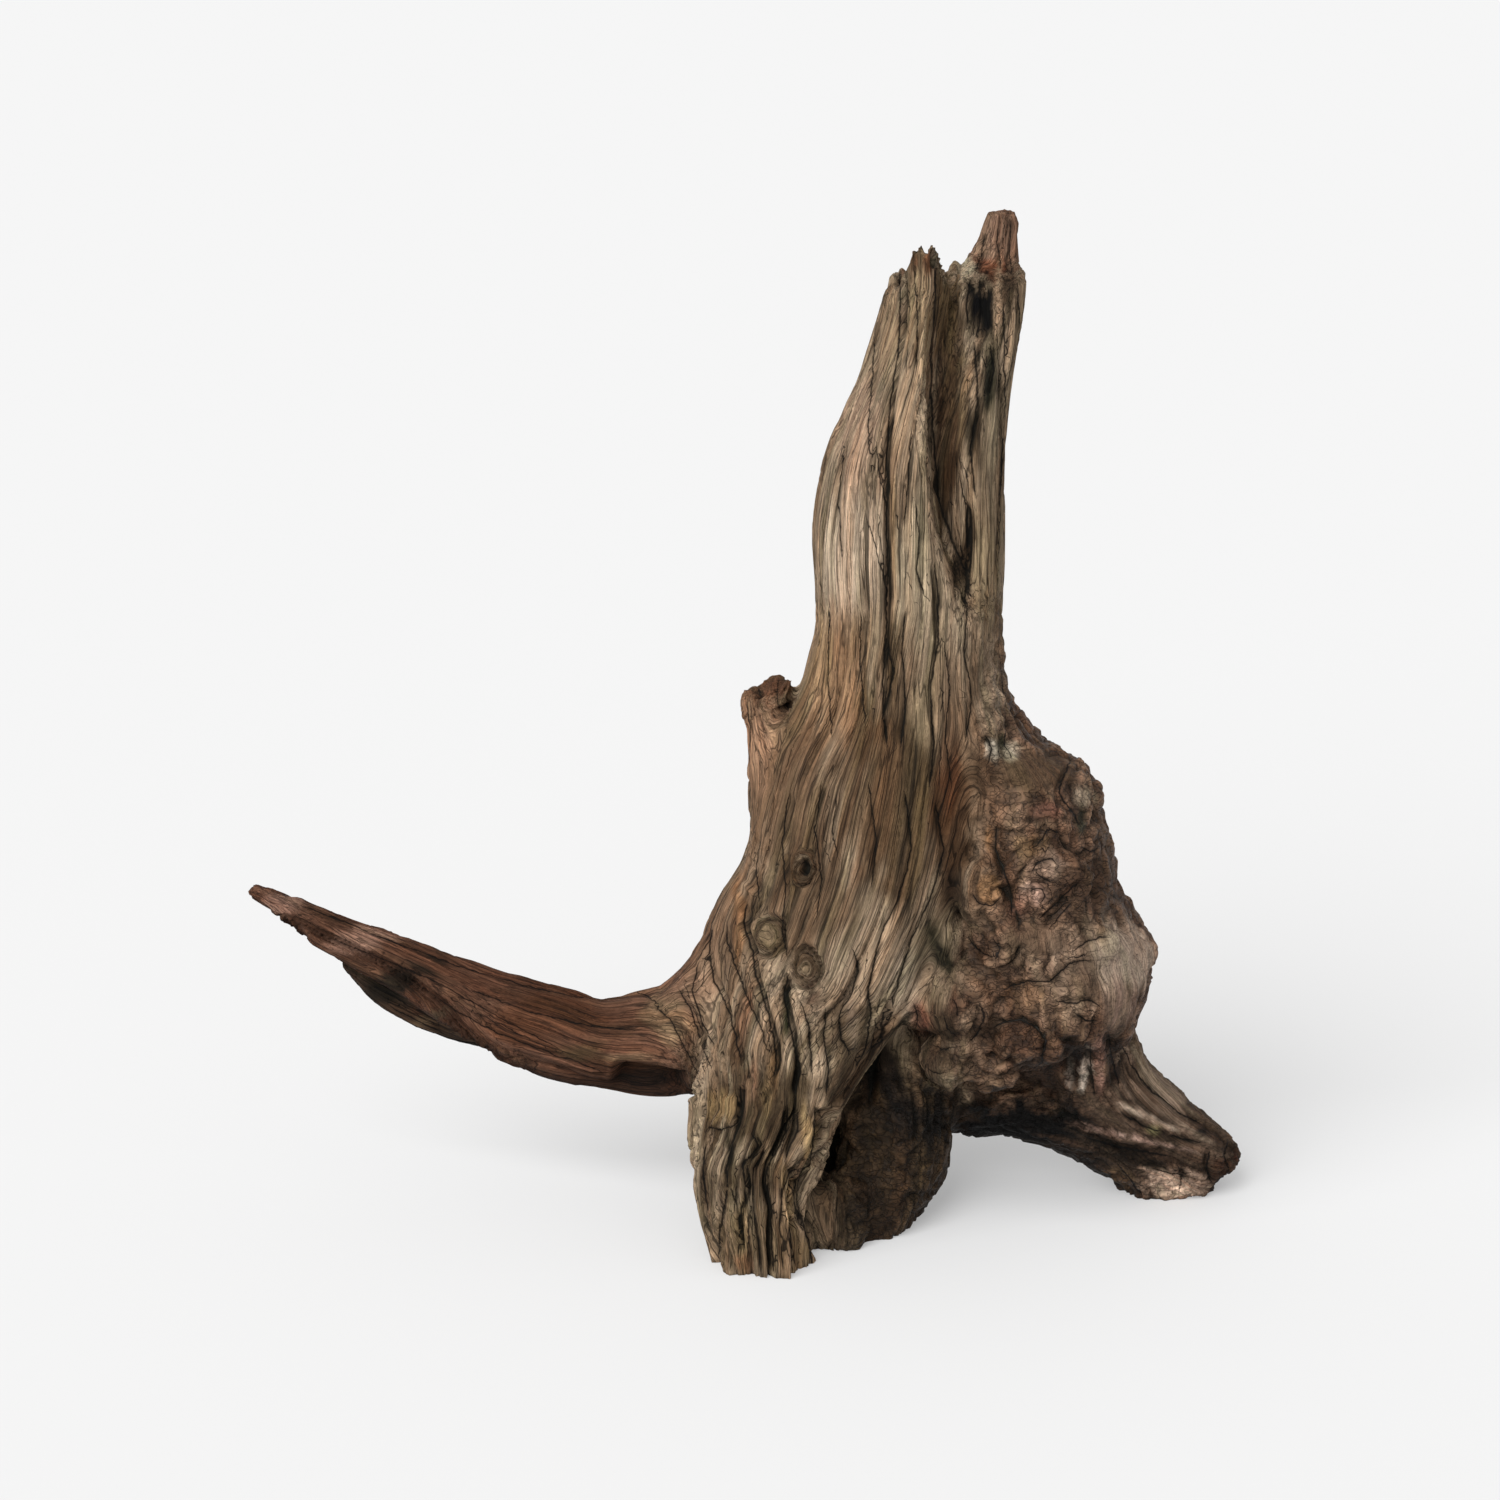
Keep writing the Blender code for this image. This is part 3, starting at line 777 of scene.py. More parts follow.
def make_knobs() -> tuple[Knob, ...]:
    """Swellings of the burl, the stub's two blunt ends, the lobe's toes and the feet's tips.

    Returns:
        One stretched ball for each row: its middle, then its three radii.
    """
    rows = (
        (129, 2, 187, 20, 25, 15), (135, 0, 154, 22, 29, 16), (149, -4, 117, 24.5, 29, 17),
        (143, -7, 93, 25, 31, 20), (88, -40, 108, 18, 15, 18), (121, -41, 93, 21, 15, 15),
        (82, -36, 80, 12, 13, 12), (98, -38, 156, 12, 12, 17), (130, -38, 162, 14, 10, 14),
        (118, -32, 184, 17, 12, 13), (109, -43, 134, 15, 12, 15), (141, -38, 134, 15, 12, 12),
        (101, -38, 75, 13, 11, 9), (91, -36, 86, 11, 13, 11), (1, 12, 222, 4.2, 9, 8.5),
        (11, 12, 225, 7, 10, 9), (66, -8, 24, 21, 24, 20), (33, -42, 10, 18, 19, 24),
        (184, 9, 6, 21, 17, 16), (16, 5, 213, 10, 14, 9), (14, 12, 227, 4.5, 9, 7),
        (80, -30, 130, 10, 12, 15), (72, -35, 104, 9, 10, 13), (78, 24, 80, 14, 12, 14),
        (95, 20, 409, 5, 6, 7.5),
    )
    return tuple(Knob(row[:3], row[3:]) for row in rows)


def stem_marks() -> tuple[Mark, ...]:
    """The rotted channel's edge and the long cracks of the stem.

    Returns:
        The stem's lines, from the top down.
    """
    groove, ridge, step = MarkKind.GROOVE, MarkKind.RIDGE, MarkKind.STEP
    rows = (
        # The rotted channel's overhanging left edge
        (groove, ((937, 240), (935, 303), (931, 350), (931, 394), (934, 450), (939, 500), (951, 538),
                  (964, 569), (972, 600)), 1.6, 1.6),
        (ridge, ((931, 268), (928, 320), (924, 380), (926, 440), (931, 500), (942, 540)), 2.2, 1.2),
        (groove, ((966, 500), (972, 540), (969, 580), (962, 610)), 1.8, 3.0),
        (groove, ((958, 470), (968, 520), (966, 560)), 0.8, 1.6),
        # Splintered wood on the channel's right side
        (ridge, ((966, 262), (963, 300), (966, 345), (962, 420), (958, 470)), 1.6, 2.0),
        (groove, ((974, 340), (978, 400), (970, 450), (976, 500)), 1.2, 2.2),
        (groove, ((970, 280), (967, 300), (968, 326)), 1.6, 1.6, 8.0, 5.0),
        (groove, ((979, 278), (981, 306), (978, 340)), 2.2, 2.4, 8.0, 6.0),
        (groove, ((989, 288), (987, 310), (988, 330)), 1.4, 1.6, 8.0, 5.0),
        (groove, ((990, 344), (994, 372), (988, 396)), 1.8, 1.6, 8.0, 6.0),
        (ridge, ((999, 270), (996, 300), (994, 348)), 1.2, 1.6),
        (groove, ((1003, 300), (1005, 400), (1000, 500), (998, 573)), 0.9, 1.8),
        (groove, ((1018, 280), (1020, 340), (1012, 440), (1008, 520)), 0.8, 1.4),
        # Long cracks of the stem
        (groove, ((899, 262), (901, 300), (899, 345), (891, 401), (887, 458), (887, 544), (888, 600),
                  (884, 660), (882, 720)), 1.1, 3.4),
        (groove, ((914, 262), (918, 320), (916, 372)), 0.8, 2.0),
        (groove, ((876, 322), (872, 380), (868, 430), (872, 480)), 0.7, 1.2),
        (groove, ((912, 430), (908, 480), (904, 530)), 0.7, 1.4),
        (groove, ((915, 500), (920, 540), (916, 570), (926, 600)), 0.8, 1.8),
        (groove, ((934, 560), (939, 600), (938, 640), (930, 690), (934, 740), (930, 790)), 0.9, 2.4),
        (groove, ((861, 610), (860, 660), (866, 730)), 0.7, 1.4),
        (groove, ((830, 600), (828, 670), (832, 740)), 0.6, 1.0),
        (groove, ((905, 610), (902, 650), (906, 700), (900, 750)), 0.8, 2.0),
        (groove, ((886, 640), (894, 670), (884, 715), (888, 750)), 1.0, 2.4),
        (groove, ((968, 600), (964, 650), (972, 700), (965, 745)), 0.8, 1.6),
        (groove, ((1000, 600), (999, 650), (1004, 700)), 0.6, 1.0),
        (groove, ((845, 440), (838, 500), (842, 560)), 0.6, 1.0),
        (step, ((866, 515), (874, 540), (884, 580), (888, 610)), 0.8, 1.2, 8.0),
        (step, ((876, 440), (880, 480), (886, 500)), 0.8, 1.4, 5.0),
        (groove, ((944, 640), (950, 690), (945, 740), (952, 790)), 0.6, 1.2),
        # The stub's two blunt ends and the splinter's cracks
        (groove, ((759, 674), (758, 686), (761, 698)), 1.0, 2.4, 8.0, 4.0),
        (groove, ((779, 678), (777, 692), (778, 706)), 0.6, 0.8, 8.0, 5.0),
        (groove, ((746, 700), (751, 730), (748, 760)), 0.6, 0.7),
        (groove, ((1000, 214), (997, 240), (1001, 270)), 0.7, 1.4, 8.0, 5.0),
        (groove, ((984, 234), (982, 252), (976, 272)), 0.7, 1.4, 8.0, 5.0),
        (groove, ((1010, 222), (1009, 250), (1012, 276)), 0.6, 1.0, 8.0, 5.0),
        # The knotty scar beside the burl's top
        (groove, ((985, 735), (992, 748), (988, 764)), 0.8, 1.6, 8.0, 5.0),
        (groove, ((1006, 730), (1004, 744), (1012, 760)), 0.7, 1.4, 8.0, 5.0),
    )
    return tuple(Mark(*row) for row in rows)


def flank_marks() -> tuple[Mark, ...]:
    """Grain lines that draw together over the flank, and the folds where the side root leaves.

    Returns:
        The flank's lines, from the burl to the side root.
    """
    groove, ridge = MarkKind.GROOVE, MarkKind.RIDGE
    rows = (
        (groove, ((935, 800), (944, 850), (930, 900), (909, 945), (897, 987), (884, 1012), (876, 1052),
                  (868, 1084)), 0.9, 2.0),
        (groove, ((905, 790), (912, 850), (898, 900), (882, 931), (874, 962), (868, 990), (871, 1015),
                  (866, 1046), (855, 1070)), 0.9, 2.2),
        (groove, ((868, 780), (876, 840), (872, 890)), 0.7, 1.6),
        (groove, ((852, 946), (859, 969), (852, 992), (839, 1015), (841, 1038), (852, 1056)), 0.8, 2.0),
        (groove, ((838, 790), (832, 830), (838, 860)), 0.6, 1.2),
        (groove, ((822, 780), (815, 830), (822, 880), (816, 920)), 0.7, 1.6),
        (groove, ((790, 790), (782, 840), (786, 890), (782, 930), (788, 960)), 0.8, 2.2),
        (groove, ((762, 830), (756, 870), (760, 905)), 0.7, 1.4),
        # The deep valley between stem and burl
        (groove, ((975, 840), (965, 859), (944, 916), (929, 948), (921, 975), (928, 998)), 3.2, 1.4),
        (groove, ((893, 1008), (882, 1042), (873, 1076), (868, 1110)), 2.0, 3.0),
        # The cavity under the side root
        (groove, ((608, 1076), (650, 1082), (690, 1088)), 5.5, 9.0),
        (ridge, ((600, 1066), (626, 1055), (659, 1060), (688, 1074)), 1.6, 1.8),
        # The rotted hole of the largest knot
        (groove, ((800, 858), (805, 868), (802, 879)), 2.6, 3.6, 8.0, 4.0),
        # The looped ridge and the grooves of the left flank
        (ridge, ((742, 950), (741, 920), (742, 893), (748, 885), (754, 894), (748, 902)), 1.2, 1.8),
        (groove, ((748, 900), (744, 923), (752, 950), (757, 977), (769, 1015), (774, 1040), (777, 1062),
                  (773, 1081)), 1.3, 3.6),
        (groove, ((713, 923), (709, 950), (713, 977), (728, 1008), (736, 1035), (742, 1069)), 0.9, 2.4),
        (groove, ((728, 923), (727, 942), (740, 977), (748, 1000), (763, 1031), (767, 1054)), 0.8, 2.0),
        (groove, ((790, 970), (784, 995), (789, 1020), (796, 1054), (800, 1073), (794, 1100)), 1.8, 4.4),
        (ridge, ((799, 985), (803, 1019), (806, 1053)), 1.0, 1.4),
        (groove, ((798, 996), (809, 1027), (811, 1054), (813, 1081)), 0.8, 2.0),
        (groove, ((826, 1005), (824, 1040), (829, 1070), (826, 1100)), 0.8, 1.8),
        (groove, ((700, 960), (692, 990), (702, 1020), (716, 1050)), 0.8, 1.8),
        (groove, ((676, 985), (690, 1008), (700, 1040), (712, 1072)), 0.8, 1.8),
        (groove, ((650, 1000), (672, 1022), (686, 1050), (702, 1082)), 0.7, 1.4),
    )
    return tuple(Mark(*row) for row in rows)


def foot_marks() -> tuple[Mark, ...]:
    """Clefts between the laminae of the front foot.

    Returns:
        The foot's lines, from left to right.
    """
    groove, ridge, step = MarkKind.GROOVE, MarkKind.RIDGE, MarkKind.STEP
    rows = (
        (step, ((706, 1126), (722, 1130), (737, 1124), (738, 1108), (736, 1092)), 0.8, -2.4, 9.0, 6.0),
        (groove, ((741, 1085), (742, 1105), (740, 1122), (731, 1150), (726, 1169), (728, 1190)),
                  2.0, 4.4, 8.0, 6.0),
        (groove, ((728, 1183), (725, 1201), (721, 1228), (718, 1262)), 1.4, 3.4),
        (groove, ((750, 1131), (759, 1146), (742, 1165), (746, 1188), (740, 1219), (738, 1262)), 1.2, 4.0),
        (groove, ((769, 1146), (753, 1169), (753, 1208), (759, 1246), (761, 1276)), 1.1, 3.4),
        (groove, ((788, 1104), (786, 1131), (777, 1150), (768, 1165), (765, 1185), (772, 1208),
                  (771, 1246), (775, 1276)), 1.3, 4.6),
        (groove, ((798, 1108), (797, 1132), (789, 1150), (784, 1164)), 1.2, 4.0),
        (groove, ((803, 1167), (790, 1172), (782, 1190), (780, 1227), (784, 1272)), 1.0, 3.0),
        (groove, ((798, 1176), (793, 1192), (796, 1212), (801, 1230)), 2.0, 5.0, 8.0, 8.0),
        (ridge, ((808, 1112), (806, 1140), (803, 1160)), 1.8, 1.8),
        (step, ((816, 1104), (813, 1140), (809, 1168), (799, 1176), (799, 1200), (803, 1226), (808, 1240),
                (814, 1272)), 1.0, 6.0, 18.0),
        (groove, ((706, 1140), (703, 1170), (708, 1215)), 1.0, 2.6),
        (groove, ((790, 1212), (789, 1240), (796, 1270)), 0.7, 1.6),
        (groove, ((747, 1200), (749, 1235), (748, 1270)), 0.7, 1.6),
    )
    return tuple(Mark(*row) for row in rows)


def burl_marks() -> tuple[Mark, ...]:
    """Folds, creases and fringes of the burl.

    Returns:
        The burl's lines, from the top down.
    """
    groove, ridge, step = MarkKind.GROOVE, MarkKind.RIDGE, MarkKind.STEP
    rows = (
        # Long creases round the bare plateau
        (groove, ((1112, 938), (1100, 937), (1086, 942), (1070, 953)), 0.9, 1.2),
        (step, ((1096, 961), (1084, 960), (1072, 962), (1060, 972), (1050, 982), (1028, 981), (1012, 985),
                (1000, 992)), 0.8, 1.8, 8.0, 16.0),
        (groove, ((1052, 1001), (1074, 1003), (1089, 1000), (1104, 1009)), 0.9, 1.8),
        (groove, ((1072, 1011), (1085, 1020), (1102, 1021)), 1.0, 2.0),
        (step, ((1085, 876), (1068, 892), (1052, 907), (1036, 922)), 0.8, 2.2, 9.0),
        (groove, ((1074, 900), (1060, 916), (1048, 930)), 0.7, 1.2),
        # Cracks and pinched wrinkles above
        (groove, ((1072, 757), (1065, 774), (1058, 792), (1065, 802), (1074, 814), (1082, 830)), 0.9, 2.2),
        (groove, ((998, 822), (994, 848), (1004, 868), (1010, 888), (1012, 918)), 0.9, 1.6),
        (ridge, ((990, 822), (988, 845), (990, 864)), 1.8, 1.6),
        (groove, ((1030, 868), (1046, 880), (1058, 884)), 0.7, 1.2),
        (groove, ((1030, 850), (1040, 842), (1048, 828), (1064, 836)), 0.9, 1.6),
        (groove, ((1030, 874), (1038, 862), (1052, 858), (1060, 866)), 0.7, 1.2),
        (groove, ((1028, 892), (1040, 888), (1046, 896), (1040, 904)), 0.6, 1.0, 8.0, 6.0),
        (groove, ((972, 892), (978, 904), (992, 906), (1000, 898)), 0.6, 1.0, 8.0, 6.0),
        (groove, ((1078, 846), (1092, 852), (1100, 846)), 0.7, 1.2, 8.0, 6.0),
        (groove, ((966, 934), (974, 946), (986, 956), (998, 958)), 0.8, 1.4),
        (groove, ((992, 938), (1000, 948), (996, 960)), 0.6, 1.0, 8.0, 6.0),
        # Outlines of the two lower lumps
        (groove, ((978, 1000), (985, 1016), (977, 1034), (966, 1044)), 1.4, 2.6),
        (groove, ((990, 1030), (1004, 1022), (1020, 1020), (1036, 1026), (1046, 1040), (1042, 1062),
                  (1030, 1072)), 1.1, 2.0),
        (groove, ((942, 1012), (948, 1030), (962, 1040)), 0.7, 1.2),
        (groove, ((950, 994), (958, 1010), (956, 1024)), 0.6, 1.0),
        (groove, ((912, 1000), (918, 1016), (914, 1034)), 0.8, 1.6),
        (groove, ((930, 1044), (944, 1050), (958, 1046)), 0.8, 1.4),
        # The torn hollow with pale flakes on the right
        (groove, ((1075, 1035), (1070, 1060), (1074, 1085)), 3.0, 3.6, 8.0, 6.0),
        (ridge, ((1098, 1032), (1100, 1060), (1104, 1098)), 2.4, 1.8),
        (groove, ((1090, 1040), (1091, 1070), (1096, 1098)), 0.8, 1.8),
        (groove, ((1108, 1030), (1112, 1060), (1120, 1090)), 2.2, 2.4),
        (ridge, ((1060, 1062), (1062, 1082), (1072, 1098)), 1.4, 1.8),
        (ridge, ((1082, 1062), (1080, 1080), (1086, 1098)), 1.2, 1.6),
        # The ragged fringe of the lower edge
        (ridge, ((908, 1062), (918, 1074), (928, 1085), (944, 1089), (960, 1081)), 1.8, 2.6),
        (ridge, ((962, 1084), (972, 1104), (992, 1107), (1008, 1094), (1032, 1094)), 1.6, 2.6),
        (groove, ((925, 1066), (936, 1074), (950, 1072)), 0.8, 1.6),
    )
    return tuple(Mark(*row) for row in rows)


def right_root_marks() -> tuple[Mark, ...]:
    """Pale ridges, hollows and facets of the right root.

    Returns:
        The right root's lines.
    """
    groove, ridge, step = MarkKind.GROOVE, MarkKind.RIDGE, MarkKind.STEP
    rows = (
        (ridge, ((1104, 1094), (1126, 1104), (1144, 1115), (1157, 1125), (1178, 1128), (1196, 1134),
                 (1214, 1138)), 1.3, 2.2),
        (ridge, ((1152, 1122), (1162, 1138), (1178, 1149)), 1.0, 1.8),
        (ridge, ((1072, 1125), (1097, 1130), (1118, 1135), (1138, 1139), (1159, 1143), (1180, 1149)),
                 1.3, 2.6),
        (groove, ((1085, 1137), (1115, 1146), (1145, 1152), (1172, 1157)), 1.8, 2.4),
        (groove, ((1120, 1112), (1145, 1127), (1162, 1132)), 1.2, 1.8),
        (groove, ((1166, 1134), (1186, 1140), (1204, 1143)), 1.6, 2.2),
        (step, ((1116, 1162), (1126, 1174), (1134, 1185), (1143, 1196)), 0.9, -2.0, 8.0, 8.0),
        (groove, ((1210, 1150), (1206, 1168), (1212, 1184)), 1.2, 2.0, 8.0, 6.0),
        (groove, ((1150, 1168), (1172, 1174), (1196, 1172)), 0.8, 1.2),
        (groove, ((1176, 1160), (1182, 1178), (1178, 1196)), 0.7, 1.2),
        (groove, ((1130, 1066), (1152, 1090), (1178, 1112), (1204, 1126)), 0.8, 1.4),
        (groove, ((1118, 1040), (1134, 1068), (1150, 1092)), 0.8, 1.4),
        (step, ((1228, 1140), (1224, 1156), (1230, 1172)), 0.8, 1.2, 6.0, 6.0),
    )
    return tuple(Mark(*row) for row in rows)


def side_root_marks() -> tuple[Mark, ...]:
    """Flakes and long cracks of the side root.

    Returns:
        The side root's lines.
    """
    groove, step = MarkKind.GROOVE, MarkKind.STEP
    rows = (
        (step, ((604, 1072), (548, 1052), (500, 1034), (454, 1010), (430, 992)), 0.8, -1.4, 7.0),
        (step, ((560, 1050), (500, 1018), (448, 988), (390, 962), (330, 938)), 0.7, -1.0, 5.0),
        (groove, ((300, 905), (350, 924), (398, 944), (459, 966), (526, 986), (590, 1000)), 0.6, 1.0),
        (groove, ((470, 990), (530, 1012), (590, 1026), (640, 1030)), 0.6, 1.0),
        (groove, ((380, 990), (410, 1006), (444, 1024)), 0.7, 1.2),
        (step, ((386, 1004), (412, 1018), (448, 1036)), 0.8, 1.4, 5.0),
        (groove, ((620, 985), (648, 996), (668, 1010)), 0.7, 1.2),
        (groove, ((600, 962), (640, 968), (664, 956), (690, 930)), 0.7, 1.2),
        (groove, ((590, 1086), (640, 1098), (684, 1102)), 0.7, 1.4),
    )
    return tuple(Mark(*row) for row in rows)


def make_marks() -> tuple[Mark, ...]:
    """Every drawn line of the front, place by place."""
    upper = stem_marks() + flank_marks() + foot_marks()
    return upper + burl_marks() + right_root_marks() + side_root_marks()


def make_knots() -> tuple[Knot, ...]:
    """Knots on the left of the lower stem.

    Returns:
        The knots, from the top down.
    """
    return (
        Knot(803, 868, 4.6, 0.8, 1.0),
        Knot(769, 937, 5.6, 1.0, 0.8),
        Knot(808, 967, 5.2, 1.6, 0.3),
    )


def make_calm_places() -> tuple[Oval, ...]:
    """Bare, smooth places of the burl and the right root.

    Returns:
        The places, as ovals in the picture.
    """
    return (
        Oval(1120, 966, 56, 44, 20),
        Oval(1118, 1010, 22, 26, 0),
        Oval(1040, 940, 36, 12, -10),
        Oval(1035, 770, 40, 20, 0),
        Oval(1155, 1085, 22, 40, 38),
    )


